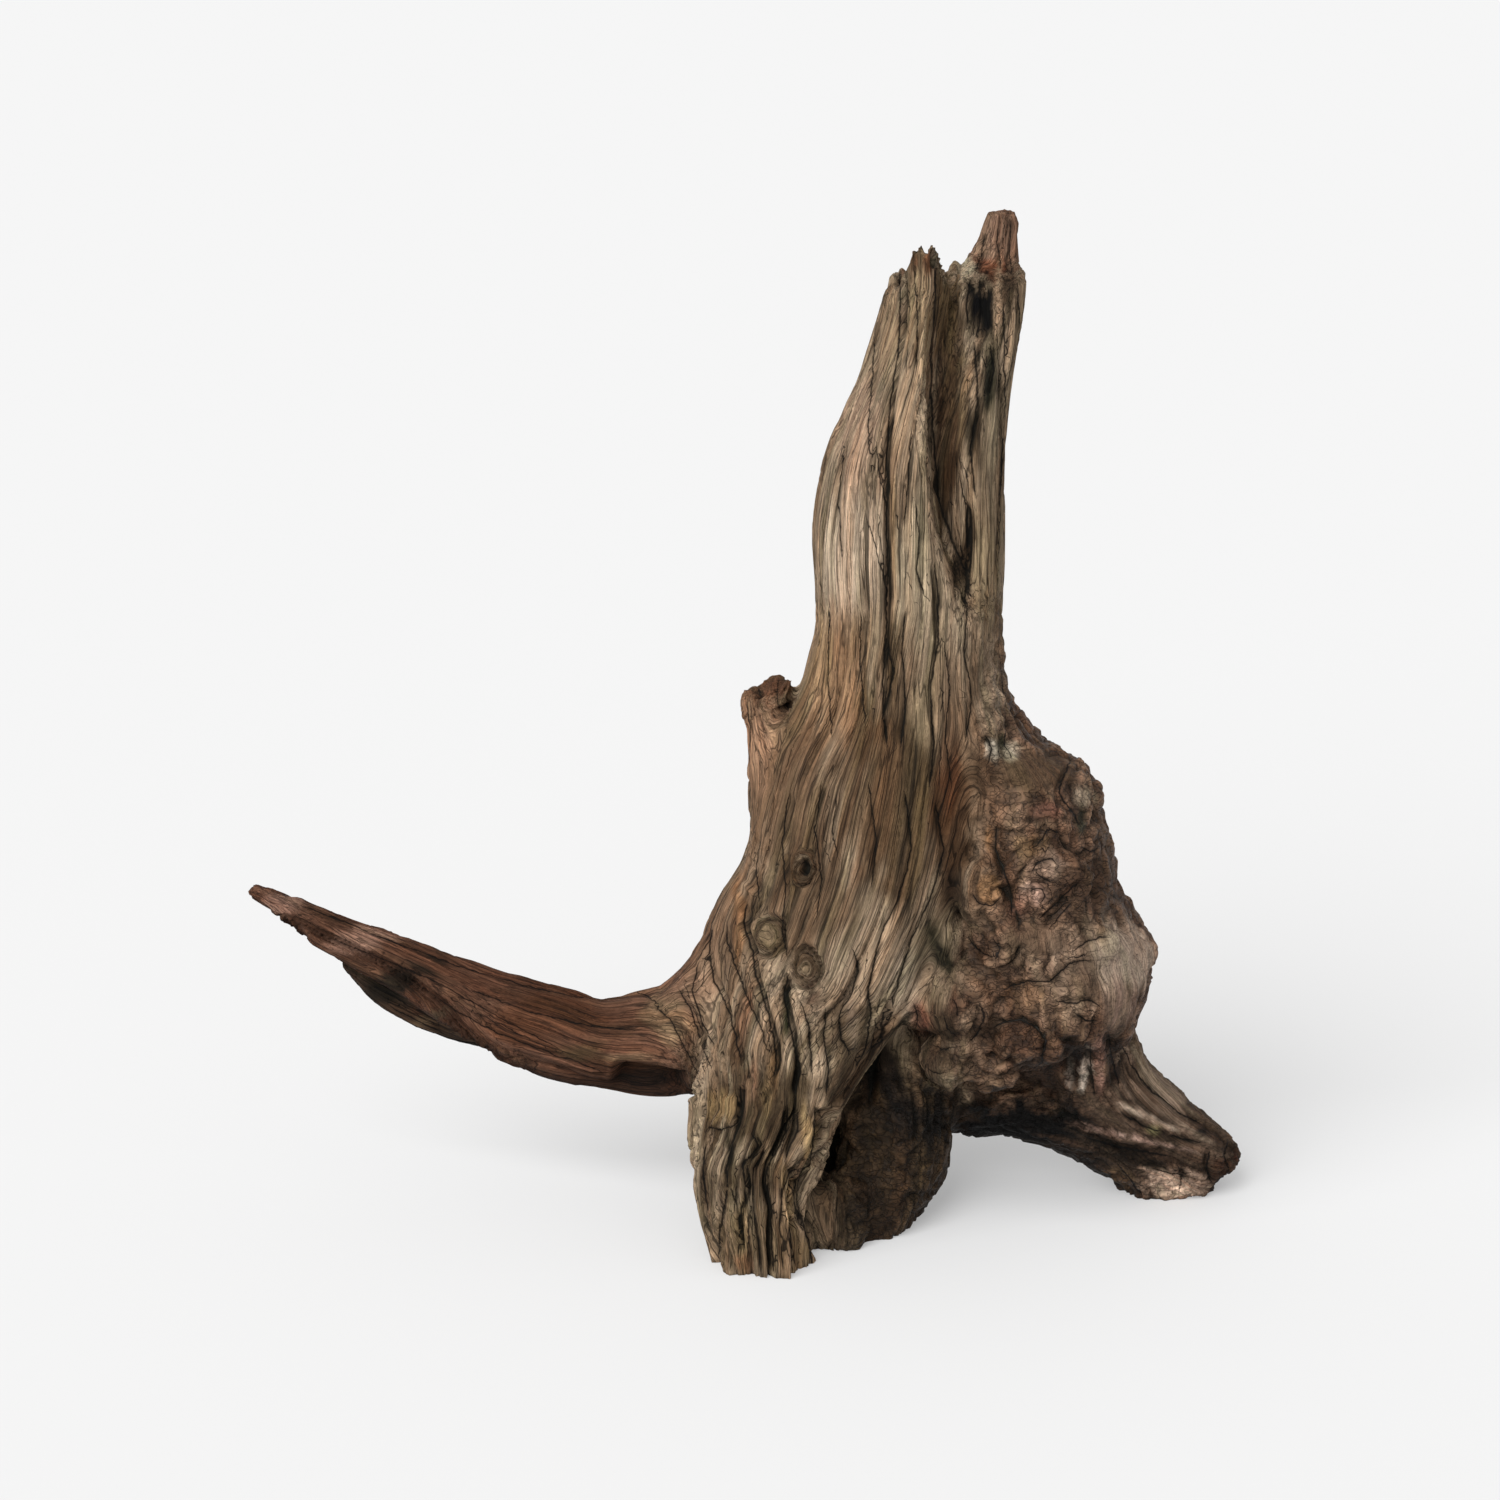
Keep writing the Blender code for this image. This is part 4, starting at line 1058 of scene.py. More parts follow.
def make_patches() -> tuple[Patch, ...]:
    """Stains, bleached places, mossy places and places of painted shade of the front.

    Returns:
        Patches in the order in which they are laid over each other.
    """
    rows = (
        # Bleached wood on the stem's left side
        (850, 555, 30, 66, -10, (196, 174, 150), 0.9),
        (862, 430, 20, 66, 10, (180, 152, 128), 0.75),
        (845, 440, 12, 60, 14, (164, 138, 116), 0.4),
        (920, 320, 12, 60, 0, (170, 146, 116), 0.8),
        (888, 330, 11, 56, 4, (168, 142, 114), 0.7),
        (908, 420, 18, 60, 0, (176, 154, 128), 0.8),
        (915, 570, 20, 80, 0, (186, 166, 138), 0.8),
        (894, 520, 5, 60, 0, (110, 90, 66), 0.6),
        (985, 575, 16, 70, 0, (150, 132, 106), 0.7),
        (972, 470, 8, 60, 0, (140, 122, 100), 0.7),
        (1003, 470, 12, 90, 0, (80, 66, 52), 0.85),
        (1014, 400, 5, 80, 0, (136, 118, 96), 0.6),
        (882, 650, 22, 40, 0, (150, 130, 104), 0.5),
        # Red-brown tips of the rim and the splinter
        (908, 262, 12, 10, 0, (98, 62, 46), 0.8),
        (930, 264, 7, 11, 0, (102, 64, 46), 0.8),
        (992, 240, 26, 36, 0, (150, 122, 103), 0.85),
        (990, 266, 20, 10, 0, (116, 76, 58), 0.85),
        (994, 278, 8, 8, 0, (84, 54, 40), 0.8),
        # The rotted channel: a brown floor that is partly the rotted wood's colour and partly painted shade,
        # painted shadow under its left lip, painted shade deepening towards its bottom
        (950, 400, 17, 150, 0, (82, 64, 49), 0.95),
        # Painted shadow under the channel's overhanging left lip
        (940, 380, 5, 150, 0, (46, 33, 24), 0.8),
        (948, 312, 14, 54, 0, (102, 84, 64), 0.9),
        # Painted shade deepening towards the channel's bottom
        (946, 500, 12, 60, -8, (56, 41, 29), 0.88),
        (979, 308, 18, 38, 0, (15, 14, 15), 1.0),
        (990, 376, 11, 40, 0, (26, 28, 22), 0.95),
        (970, 425, 12, 22, 0, (30, 28, 22), 0.85),
        (976, 440, 6, 40, 6, (42, 34, 26), 0.7),
        (966, 368, 6, 34, 0, (140, 120, 98), 0.8),
        (966, 268, 8, 9, 0, (190, 174, 148), 0.95),
        (962, 400, 4, 70, 0, (128, 108, 84), 0.7),
        (998, 300, 4, 44, 0, (168, 142, 116), 0.9),
        (1010, 296, 8, 28, 0, (50, 39, 31), 0.85),
        # Painted shade in the channel's narrow foot
        (962, 560, 9, 46, -14, (40, 29, 20), 0.88),
        # Cracked dark places of the stem
        (893, 650, 8, 28, 0, (46, 38, 28), 0.75),
        (893, 700, 7, 40, 0, (70, 58, 44), 0.7),
        (935, 610, 4, 60, 0, (64, 50, 36), 0.6),
        # Warm brown below, olive in the middle, dark brown beside the burl
        (832, 680, 34, 76, 0, (150, 118, 90), 0.7),
        (790, 790, 42, 90, 0, (100, 79, 62), 0.8),
        (870, 720, 12, 50, 0, (92, 80, 58), 0.6),
        (905, 800, 38, 110, 0, (60, 46, 34), 0.86),
        (950, 810, 24, 70, 0, (64, 46, 33), 0.88),
        (950, 770, 9, 50, 0, (88, 60, 44), 0.6),
        (918, 850, 8, 80, -6, (106, 86, 65), 0.5),
        (945, 690, 18, 60, 0, (118, 98, 80), 0.5),
        (992, 690, 14, 56, 0, (146, 126, 106), 0.7),
        (758, 724, 20, 58, 0, (160, 128, 104), 0.8),
        (770, 684, 26, 12, 0, (108, 78, 62), 0.75),
        # The knots and the left flank
        (815, 900, 62, 60, 0, (82, 66, 52), 0.75),
        (856, 872, 9, 9, 0, (104, 74, 56), 0.5),
        (803, 868, 6, 11, 0, (20, 14, 11), 0.95),
        (790, 872, 12, 20, 0, (82, 66, 50), 0.6),
        (768, 937, 12, 20, 20, (96, 82, 62), 0.6),
        (808, 967, 12, 11, 0, (96, 80, 62), 0.6),
        (812, 1000, 9, 18, 0, (64, 46, 40), 0.7),
        (838, 905, 20, 26, 0, (112, 92, 74), 0.5),
        (738, 925, 6, 44, 0, (124, 92, 66), 0.7),
        (720, 950, 14, 40, -12, (90, 70, 56), 0.6),
        (752, 1000, 10, 50, -16, (82, 68, 54), 0.6),
        (742, 1035, 7, 40, -14, (132, 102, 82), 0.7),
        (787, 1012, 5, 30, 0, (20, 28, 15), 0.95),
        (829, 1052, 4, 16, 0, (30, 38, 22), 0.8),
        (846, 1040, 30, 52, 10, (80, 66, 53), 0.85),
        (850, 1010, 6, 40, 8, (134, 116, 100), 0.6),
        (870, 800, 28, 80, 0, (92, 72, 55), 0.8),
        (885, 950, 18, 56, 16, (150, 131, 110), 0.85),
        (906, 985, 14, 40, 8, (164, 145, 124), 0.85),
        (840, 1090, 30, 26, 0, (54, 43, 33), 0.85),
        # The scar above the burl
        (985, 762, 16, 30, 0, (70, 56, 44), 0.7),
        (992, 750, 7, 11, 0, (186, 174, 156), 0.95),
        (1011, 752, 9, 9, 0, (176, 162, 142), 0.95),
        (1002, 740, 4, 9, 0, (40, 40, 28), 0.9),
        # The burl: brown skin, rosy and pale swellings, bare plateau
        (1035, 775, 34, 24, 0, (94, 76, 60), 0.6),
        (1084, 797, 11, 10, 0, (146, 130, 112), 0.8),
        (1082, 820, 6, 16, 0, (28, 32, 22), 0.85),
        (1046, 812, 16, 10, 0, (116, 82, 70), 0.6),
        (1062, 790, 9, 8, 0, (46, 34, 28), 0.6),
        (1030, 845, 18, 14, 0, (110, 90, 66), 0.5),
        (1048, 866, 16, 14, 0, (146, 124, 108), 0.65),
        (1034, 894, 12, 10, 0, (150, 124, 110), 0.7),
        (1022, 905, 12, 12, 0, (110, 82, 70), 0.6),
        (987, 888, 12, 14, 0, (122, 92, 66), 0.65),
        (989, 840, 5, 18, 0, (140, 108, 80), 0.7),
        (1004, 845, 6, 26, 0, (44, 36, 28), 0.7),
        (1100, 870, 22, 34, 0, (62, 47, 37), 0.7),
        (1075, 930, 26, 10, -12, (64, 50, 40), 0.5),
        (960, 900, 10, 30, 24, (44, 34, 27), 0.8),
        (938, 945, 7, 28, 24, (24, 26, 18), 0.9),
        (975, 945, 22, 20, 0, (66, 49, 40), 0.7),
        (1020, 950, 30, 16, 0, (90, 74, 61), 0.6),
        (1100, 968, 62, 46, 20, (128, 110, 94), 0.6),
        (1128, 962, 42, 36, 20, (172, 151, 133), 0.88),
        (1122, 1004, 20, 26, 0, (140, 116, 102), 0.8),
        (1085, 985, 18, 18, 0, (84, 67, 54), 0.6),
        (966, 1000, 14, 15, 0, (72, 53, 42), 0.78),
        (945, 1020, 18, 20, 0, (66, 49, 40), 0.75),
        (920, 1014, 10, 20, 0, (104, 68, 58), 0.7),
        (944, 1056, 24, 20, 0, (62, 49, 40), 0.8),
        (950, 1046, 14, 4, 0, (128, 110, 94), 0.6),
        (1024, 995, 24, 12, 0, (100, 76, 58), 0.6),
        (1016, 1042, 34, 24, 0, (56, 40, 31), 0.88),
        (1052, 1050, 14, 34, 0, (60, 44, 34), 0.7),
        (940, 1082, 16, 7, 0, (132, 116, 98), 0.8),
        (966, 1092, 8, 10, 0, (120, 104, 88), 0.7),
        (1075, 1056, 10, 30, 0, (34, 24, 19), 0.9),
        (1084, 1074, 4, 22, -10, (196, 180, 164), 0.95),
        (1070, 1074, 3, 14, 0, (176, 160, 146), 0.9),
        (1100, 1066, 6, 34, 0, (128, 100, 88), 0.8),
        (1116, 1062, 8, 34, -10, (40, 30, 24), 0.8),
        # Painted shade in the hollow under the burl and under the arch, and the dark lobe
        (888, 1070, 22, 50, 10, (24, 18, 14), 0.95),
        (905, 1120, 50, 34, 0, (17, 13, 10), 0.95),
        (1016, 1126, 80, 26, 8, (7, 5, 4), 1.0),
        (870, 1180, 50, 70, 0, (42, 32, 23), 0.9),
        # The front foot's laminae: grey-brown, with golden and reddish crests
        (766, 1112, 58, 70, 0, (60, 48, 36), 0.9),
        (756, 1176, 50, 30, 0, (70, 57, 44), 0.8),
        (756, 1246, 46, 36, 0, (108, 90, 70), 0.8),
        (724, 1106, 13, 16, 0, (138, 116, 86), 0.8),
        (772, 1080, 8, 36, -14, (124, 102, 78), 0.7),
        (752, 1080, 7, 36, -14, (138, 110, 90), 0.7),
        (808, 1134, 6, 32, 6, (158, 134, 100), 0.9),
        (788, 1200, 5, 40, 8, (168, 144, 110), 0.85),
        (799, 1252, 9, 22, 0, (146, 122, 92), 0.7),
        (744, 1225, 5, 46, 0, (166, 140, 106), 0.8),
        (746, 1264, 12, 10, 0, (140, 104, 80), 0.8),
        (764, 1140, 6, 40, 14, (130, 110, 88), 0.5),
        (706, 1190, 9, 50, 0, (64, 52, 40), 0.8),
        (708, 1232, 7, 22, 0, (22, 26, 18), 0.85),
        (730, 1150, 5, 26, 10, (26, 26, 18), 0.85),
        # The right root: ridges of pale skin on dark wood
        (1160, 1085, 24, 46, 38, (160, 138, 120), 0.8),
        (1150, 1118, 52, 4, -22, (168, 148, 130), 0.85),
        (1125, 1136, 54, 3, -13, (172, 144, 130), 0.85),
        (1153, 1130, 8, 6, 0, (150, 140, 104), 0.8),
        (1165, 1136, 14, 5, -20, (40, 32, 25), 0.7),
        (1203, 1131, 7, 4, 0, (20, 17, 14), 0.9),
        (1120, 1154, 40, 10, -20, (34, 27, 21), 0.8),
        (1176, 1184, 34, 14, 0, (204, 174, 152), 0.88),
        (1120, 1180, 14, 16, 0, (104, 84, 66), 0.6),
        (1222, 1172, 12, 14, 0, (76, 55, 44), 0.7),
        (1243, 1158, 7, 12, 0, (122, 62, 50), 0.9),
        # The junction and the side root
        (672, 1020, 20, 32, 34, (142, 119, 95), 0.75),
        (700, 985, 16, 16, 0, (126, 100, 82), 0.6),
        # Painted shade in the cavity under the side root
        (645, 1080, 38, 13, 8, (56, 44, 37), 0.95),
        (630, 1056, 34, 5, 4, (140, 112, 90), 0.85),
        (585, 1050, 26, 10, 8, (84, 70, 52), 0.6),
        (545, 1020, 60, 26, 12, (84, 55, 40), 0.6),
        (480, 985, 60, 10, 22, (104, 74, 60), 0.6),
        (370, 935, 60, 13, 22, (166, 130, 112), 0.8),
        (285, 903, 34, 12, 20, (160, 126, 110), 0.75),
        # Painted shade along the side root's lower edge, where it meets the blade
        (394, 984, 54, 15, 26, (32, 28, 22), 0.9),
        (418, 1024, 36, 5, 26, (96, 82, 67), 0.85),
    )
    return tuple(Patch(*row) for row in rows)


@dataclass(frozen=True)
class Bench:
    """Where a finish is put together: one node tree and the few kinds of node that it takes."""

    tree: bpy.types.NodeTree

    def attribute(self, name: str) -> Socket:
        """Reads one of the mesh's own attributes.

        Args:
            name: The attribute's name.

        Returns:
            Its socket: a vector for grain, a colour for tint, otherwise a number.
        """
        node = self.tree.nodes.new("ShaderNodeAttribute")
        node.attribute_name = name
        return node.outputs[{"grain": "Vector", "tint": "Color"}.get(name, "Fac")]

    def place(self) -> Socket:
        """Coordinates of the object itself."""
        return self.tree.nodes.new("ShaderNodeTexCoord").outputs["Object"]

    def texture(self, place: Socket, scale: Colour, detail: float, rough: float, warp: float = 0.0) -> Socket:
        """Fractal noise over places stretched by scale.

        Args:
            place: Coordinates to read.
            scale: Cells to a unit along each axis.
            detail: Octaves.
            rough: Strength kept from one octave to the next.
            warp: How far the noise is stirred by itself.

        Returns:
            The noise value, about 0.5 in the middle.
        """
        mapping = self.tree.nodes.new("ShaderNodeMapping")
        mapping.inputs["Scale"].default_value = scale
        self.tree.links.new(place, mapping.inputs["Vector"])
        node = self.tree.nodes.new("ShaderNodeTexNoise")
        node.inputs["Scale"].default_value = 1.0
        node.inputs["Detail"].default_value = detail
        node.inputs["Roughness"].default_value = rough
        node.inputs["Distortion"].default_value = warp
        self.tree.links.new(mapping.outputs["Vector"], node.inputs["Vector"])
        return node.outputs["Fac"]

    def lines(self, place: Socket, scale: Colour, width: float, black: float) -> Socket:
        """Thin dark lines where a noise passes through its middle value.

        Args:
            place: Coordinates to read.
            scale: Cells to a unit along each axis.
            width: How far from its middle the noise still counts as a line.
            black: Brightness of a line.

        Returns:
            1 between the lines and black in them.
        """
        line = self.texture(place, scale, 1.5, 0.5)
        line = self.combined("ABSOLUTE", self.combined("SUBTRACT", line, 0.5), 0.0)
        return self.ranged(line, (0.3 * width, width), (black, 1.0))

    def ranged(self, value: Socket, given: tuple[float, float], wanted: tuple[float, float]) -> Socket:
        """Carries a value from one range to another and holds it at the ends.

        Args:
            value: What is carried over.
            given: First and last value that count.
            wanted: What they become.

        Returns:
            The new value.
        """
        node = self.tree.nodes.new("ShaderNodeMapRange")
        node.inputs["From Min"].default_value, node.inputs["From Max"].default_value = given
        node.inputs["To Min"].default_value, node.inputs["To Max"].default_value = wanted
        self.tree.links.new(value, node.inputs["Value"])
        return node.outputs["Result"]

    def combined(self, operation: str, first: Socket, second: Socket | float) -> Socket:
        """Puts two values together.

        Args:
            operation: Name of the sum.
            first: Its first value.
            second: Its second value, a socket or a fixed number.

        Returns:
            The result.
        """
        node = self.tree.nodes.new("ShaderNodeMath")
        node.operation = operation
        self.tree.links.new(first, node.inputs[0])
        self.put(second, node.inputs[1])
        return node.outputs[0]

    def product(self, first: Socket, second: Socket) -> Socket:
        """The first value times the second."""
        return self.combined("MULTIPLY", first, second)

    def blended(self, share: Socket, first: Socket, second: Socket) -> Socket:
        """Passes from one value into another.

        Args:
            share: 0 for the first value, 1 for the second.
            first: The first value.
            second: The second value.

        Returns:
            The value between them.
        """
        node = self.tree.nodes.new("ShaderNodeMix")
        node.data_type = "FLOAT"
        self.tree.links.new(share, node.inputs[0])
        self.tree.links.new(first, node.inputs[2])
        self.tree.links.new(second, node.inputs[3])
        return node.outputs[0]

    def mixed(self, blend: str, share: Socket | float, under: Socket, over: Socket | Tint) -> Socket:
        """Lays one colour over another.

        Args:
            blend: Name of the way they mix.
            share: How far the upper one counts, a socket or a fixed number.
            under: The lower colour.
            over: The upper colour, a socket or a fixed colour.

        Returns:
            The colour that they make.
        """
        node = self.tree.nodes.new("ShaderNodeMix")
        node.data_type = "RGBA"
        node.blend_type = blend
        self.put(share, node.inputs[0])
        self.tree.links.new(under, node.inputs[6])
        self.put(over, node.inputs[7])
        return node.outputs[2]

    def put(self, value: Socket | float | Tint, slot: Socket) -> None:
        """Feeds a node.

        Args:
            value: A socket to link, or a fixed value to set.
            slot: The node's own input.
        """
        if isinstance(value, (float, tuple)):
            slot.default_value = value
        else:
            self.tree.links.new(value, slot)


@dataclass(frozen=True)
class WeatheredWood:
    """The finish: tint by place, streaks and hair cracks along the grain, painted shade in every hollow and
    painted light on crests.

    Grain coordinates are centimetres and object coordinates metres, and every scale counts cells to
    one of them.
    """

    name: str = "weathered_wood"
    roughness: float = 0.84
    slick: float = 0.5
    specular: float = 0.12
    # Height in metres of the finest relief.
    bump: float = 0.0006
    # Multipliers of the tint where it turns redder and greener, and the colour of the painted shade in deep
    # cracks and hollows.
    ruddy: Tint = (1.08, 0.97, 0.9, 1.0)
    mossy: Tint = (0.94, 1.0, 0.93, 1.0)
    hollow_shade: Tint = (0.0085, 0.0078, 0.0055, 1.0)
    # Scale and width of the thin dark lines of plain wood, its hair cracks, and of gnarled skin, painted
    # shade in its wrinkles.
    hair_cracks: tuple[tuple[Colour, float], ...] = (((2.4, 2.4, 0.04), 0.016), ((5.5, 5.5, 0.1), 0.024))
    wrinkles: tuple[tuple[Colour, float], ...] = (
        ((110.0, 110.0, 165.0), 0.022), ((300.0, 300.0, 450.0), 0.04),
    )

    def material(self) -> bpy.types.Material:
        """Builds the node tree.

        Returns:
            The material, which reads the attributes tint, grain, height, swirl, seam and seam_width.
        """
        made = bpy.data.materials.new(self.name)
        made.use_nodes = True
        shader = made.node_tree.nodes["Principled BSDF"]
        shader.inputs["Specular IOR Level"].default_value = self.specular
        bench = Bench(made.node_tree)
        grain, tint = bench.attribute("grain"), bench.attribute("tint")
        height, swirl = bench.attribute("height"), bench.attribute("swirl")
        place = bench.place()
        streaks = bench.texture(grain, (6.0, 6.0, 0.14), 6.0, 0.7)
        threads = bench.texture(grain, (22.0, 22.0, 0.5), 3.0, 0.75)
        mottle = bench.texture(place, (120.0, 120.0, 120.0), 6.0, 0.72)
        # Plain wood: streaks, finer threads and hair cracks
        fibres = bench.ranged(streaks, (0.36, 0.66), (0.42, 1.58))
        fibres = bench.product(fibres, bench.ranged(threads, (0.34, 0.66), (0.64, 1.36)))
        for scale, width in self.hair_cracks:
            fibres = bench.product(fibres, bench.lines(grain, scale, width, 0.3))
        # Gnarled skin: a stirred, leathery mottling, and wrinkles drawn as dark lines of painted shade that
        # the bump also sinks
        skin = bench.texture(place, (170.0, 170.0, 230.0), 5.0, 0.62, 1.6)
        leather = bench.ranged(skin, (0.3, 0.72), (0.55, 1.5))
        for scale, width in self.wrinkles:
            leather = bench.product(leather, bench.lines(place, scale, width, 0.5))
        # Light kept at each place: drawn cracks, mottling, and painted light that makes crests paler than
        # hollows
        light = bench.blended(swirl, fibres, leather)
        light = bench.product(light, self.cracks(bench, grain))
        light = bench.product(light, bench.ranged(mottle, (0.32, 0.68), (0.76, 1.24)))
        light = bench.product(light, bench.ranged(height, (0.0, 1.3), (1.0, 1.5)))
        # Tint: redder and greener streaks, and painted shade, near black, at the bottom of cracks and hollows
        hue = bench.texture(grain, (1.6, 1.6, 0.12), 3.0, 0.6)
        tint = bench.mixed("MULTIPLY", bench.ranged(hue, (0.5, 0.68), (0.0, 1.0)), tint, self.ruddy)
        tint = bench.mixed("MULTIPLY", bench.ranged(hue, (0.5, 0.32), (0.0, 1.0)), tint, self.mossy)
        colour = bench.mixed("MULTIPLY", 1.0, tint, light)
        deep = bench.ranged(height, (-0.25, -2.0), (0.0, 0.92))
        bench.put(bench.mixed("MIX", deep, colour, self.hollow_shade), shader.inputs["Base Color"])
        # Dry wood, and skin that is rubbed a little smoother
        dry = bench.ranged(streaks, (0.3, 0.7), (self.roughness - 0.06, self.roughness + 0.1))
        slick = bench.ranged(skin, (0.3, 0.7), (self.slick - 0.1, self.slick + 0.15))
        bench.put(bench.blended(swirl, dry, slick), shader.inputs["Roughness"])
        self.raise_light(bench, shader, light)
        return made

    def cracks(self, bench: Bench, grain: Socket) -> Socket:
        """Black lines of the drawn cracks: |seam + wobble| / width below 1, and a soft shade beside them.

        Args:
            bench: Where the nodes are made.
            grain: Grain coordinates.

        Returns:
            Share of light kept: 1 away from the cracks.
        """
        wobble = bench.texture(grain, (4.0, 4.0, 1.6), 3.0, 0.6)
        wobble = bench.ranged(wobble, (0.3, 0.7), (-0.45, 0.45))
        away = bench.combined("ABSOLUTE", bench.combined("ADD", bench.attribute("seam"), wobble), 0.0)
        width = bench.combined("MAXIMUM", bench.attribute("seam_width"), 0.001)
        share = bench.combined("DIVIDE", away, width)
        line = bench.ranged(share, (0.45, 1.2), (0.1, 1.0))
        return bench.product(line, bench.ranged(share, (0.5, 4.0), (0.72, 1.0)))

    def raise_light(self, bench: Bench, shader: bpy.types.Node, height: Socket) -> None:
        """Raises the surface a fraction of a millimetre where it is light.

        Args:
            bench: Where the node is made.
            shader: The shader that it feeds.
            height: What stands for the height.
        """
        node = bench.tree.nodes.new("ShaderNodeBump")
        node.inputs["Strength"].default_value = 1.0
        node.inputs["Distance"].default_value = self.bump
        bench.put(height, node.inputs["Height"])
        bench.put(node.outputs["Normal"], shader.inputs["Normal"])


@dataclass(frozen=True)
class Gnarls:
    """Sizes in millimetres of what gnarled skin is made of, each stirred by the slow noise swirl."""

    lump: float = 17.0
    fold: float = 14.0
    wrinkle: float = 6.0
    bead: float = 3.4

    def swirl(self, points: Array) -> Array:
        """Three slow noises, which say how far each place is moved before the others are read."""
        lump = points / self.lump
        return np.stack([noise(lump, 11), noise(lump, 12), noise(lump, 13)], axis=1)

    def lumps(self, points: Array, swirl: Array) -> Array:
        """Noise of the large lumps."""
        return noise(points / self.lump + 0.9 * swirl, 14)

    def folds(self, points: Array, swirl: Array) -> Array:
        """Noise whose middle value runs along the deep folds."""
        return noise(points / self.fold + 0.9 * swirl, 19)

    def wrinkles(self, points: Array, swirl: Array) -> Array:
        """Noise whose middle value runs along the fine wrinkles."""
        return noise(points / self.wrinkle + 0.8 * swirl, 25)

    def beads(self, points: Array, swirl: Array) -> Array:
        """Noise of the smallest swellings."""
        return noise(points / self.bead + 1.1 * swirl, 26)


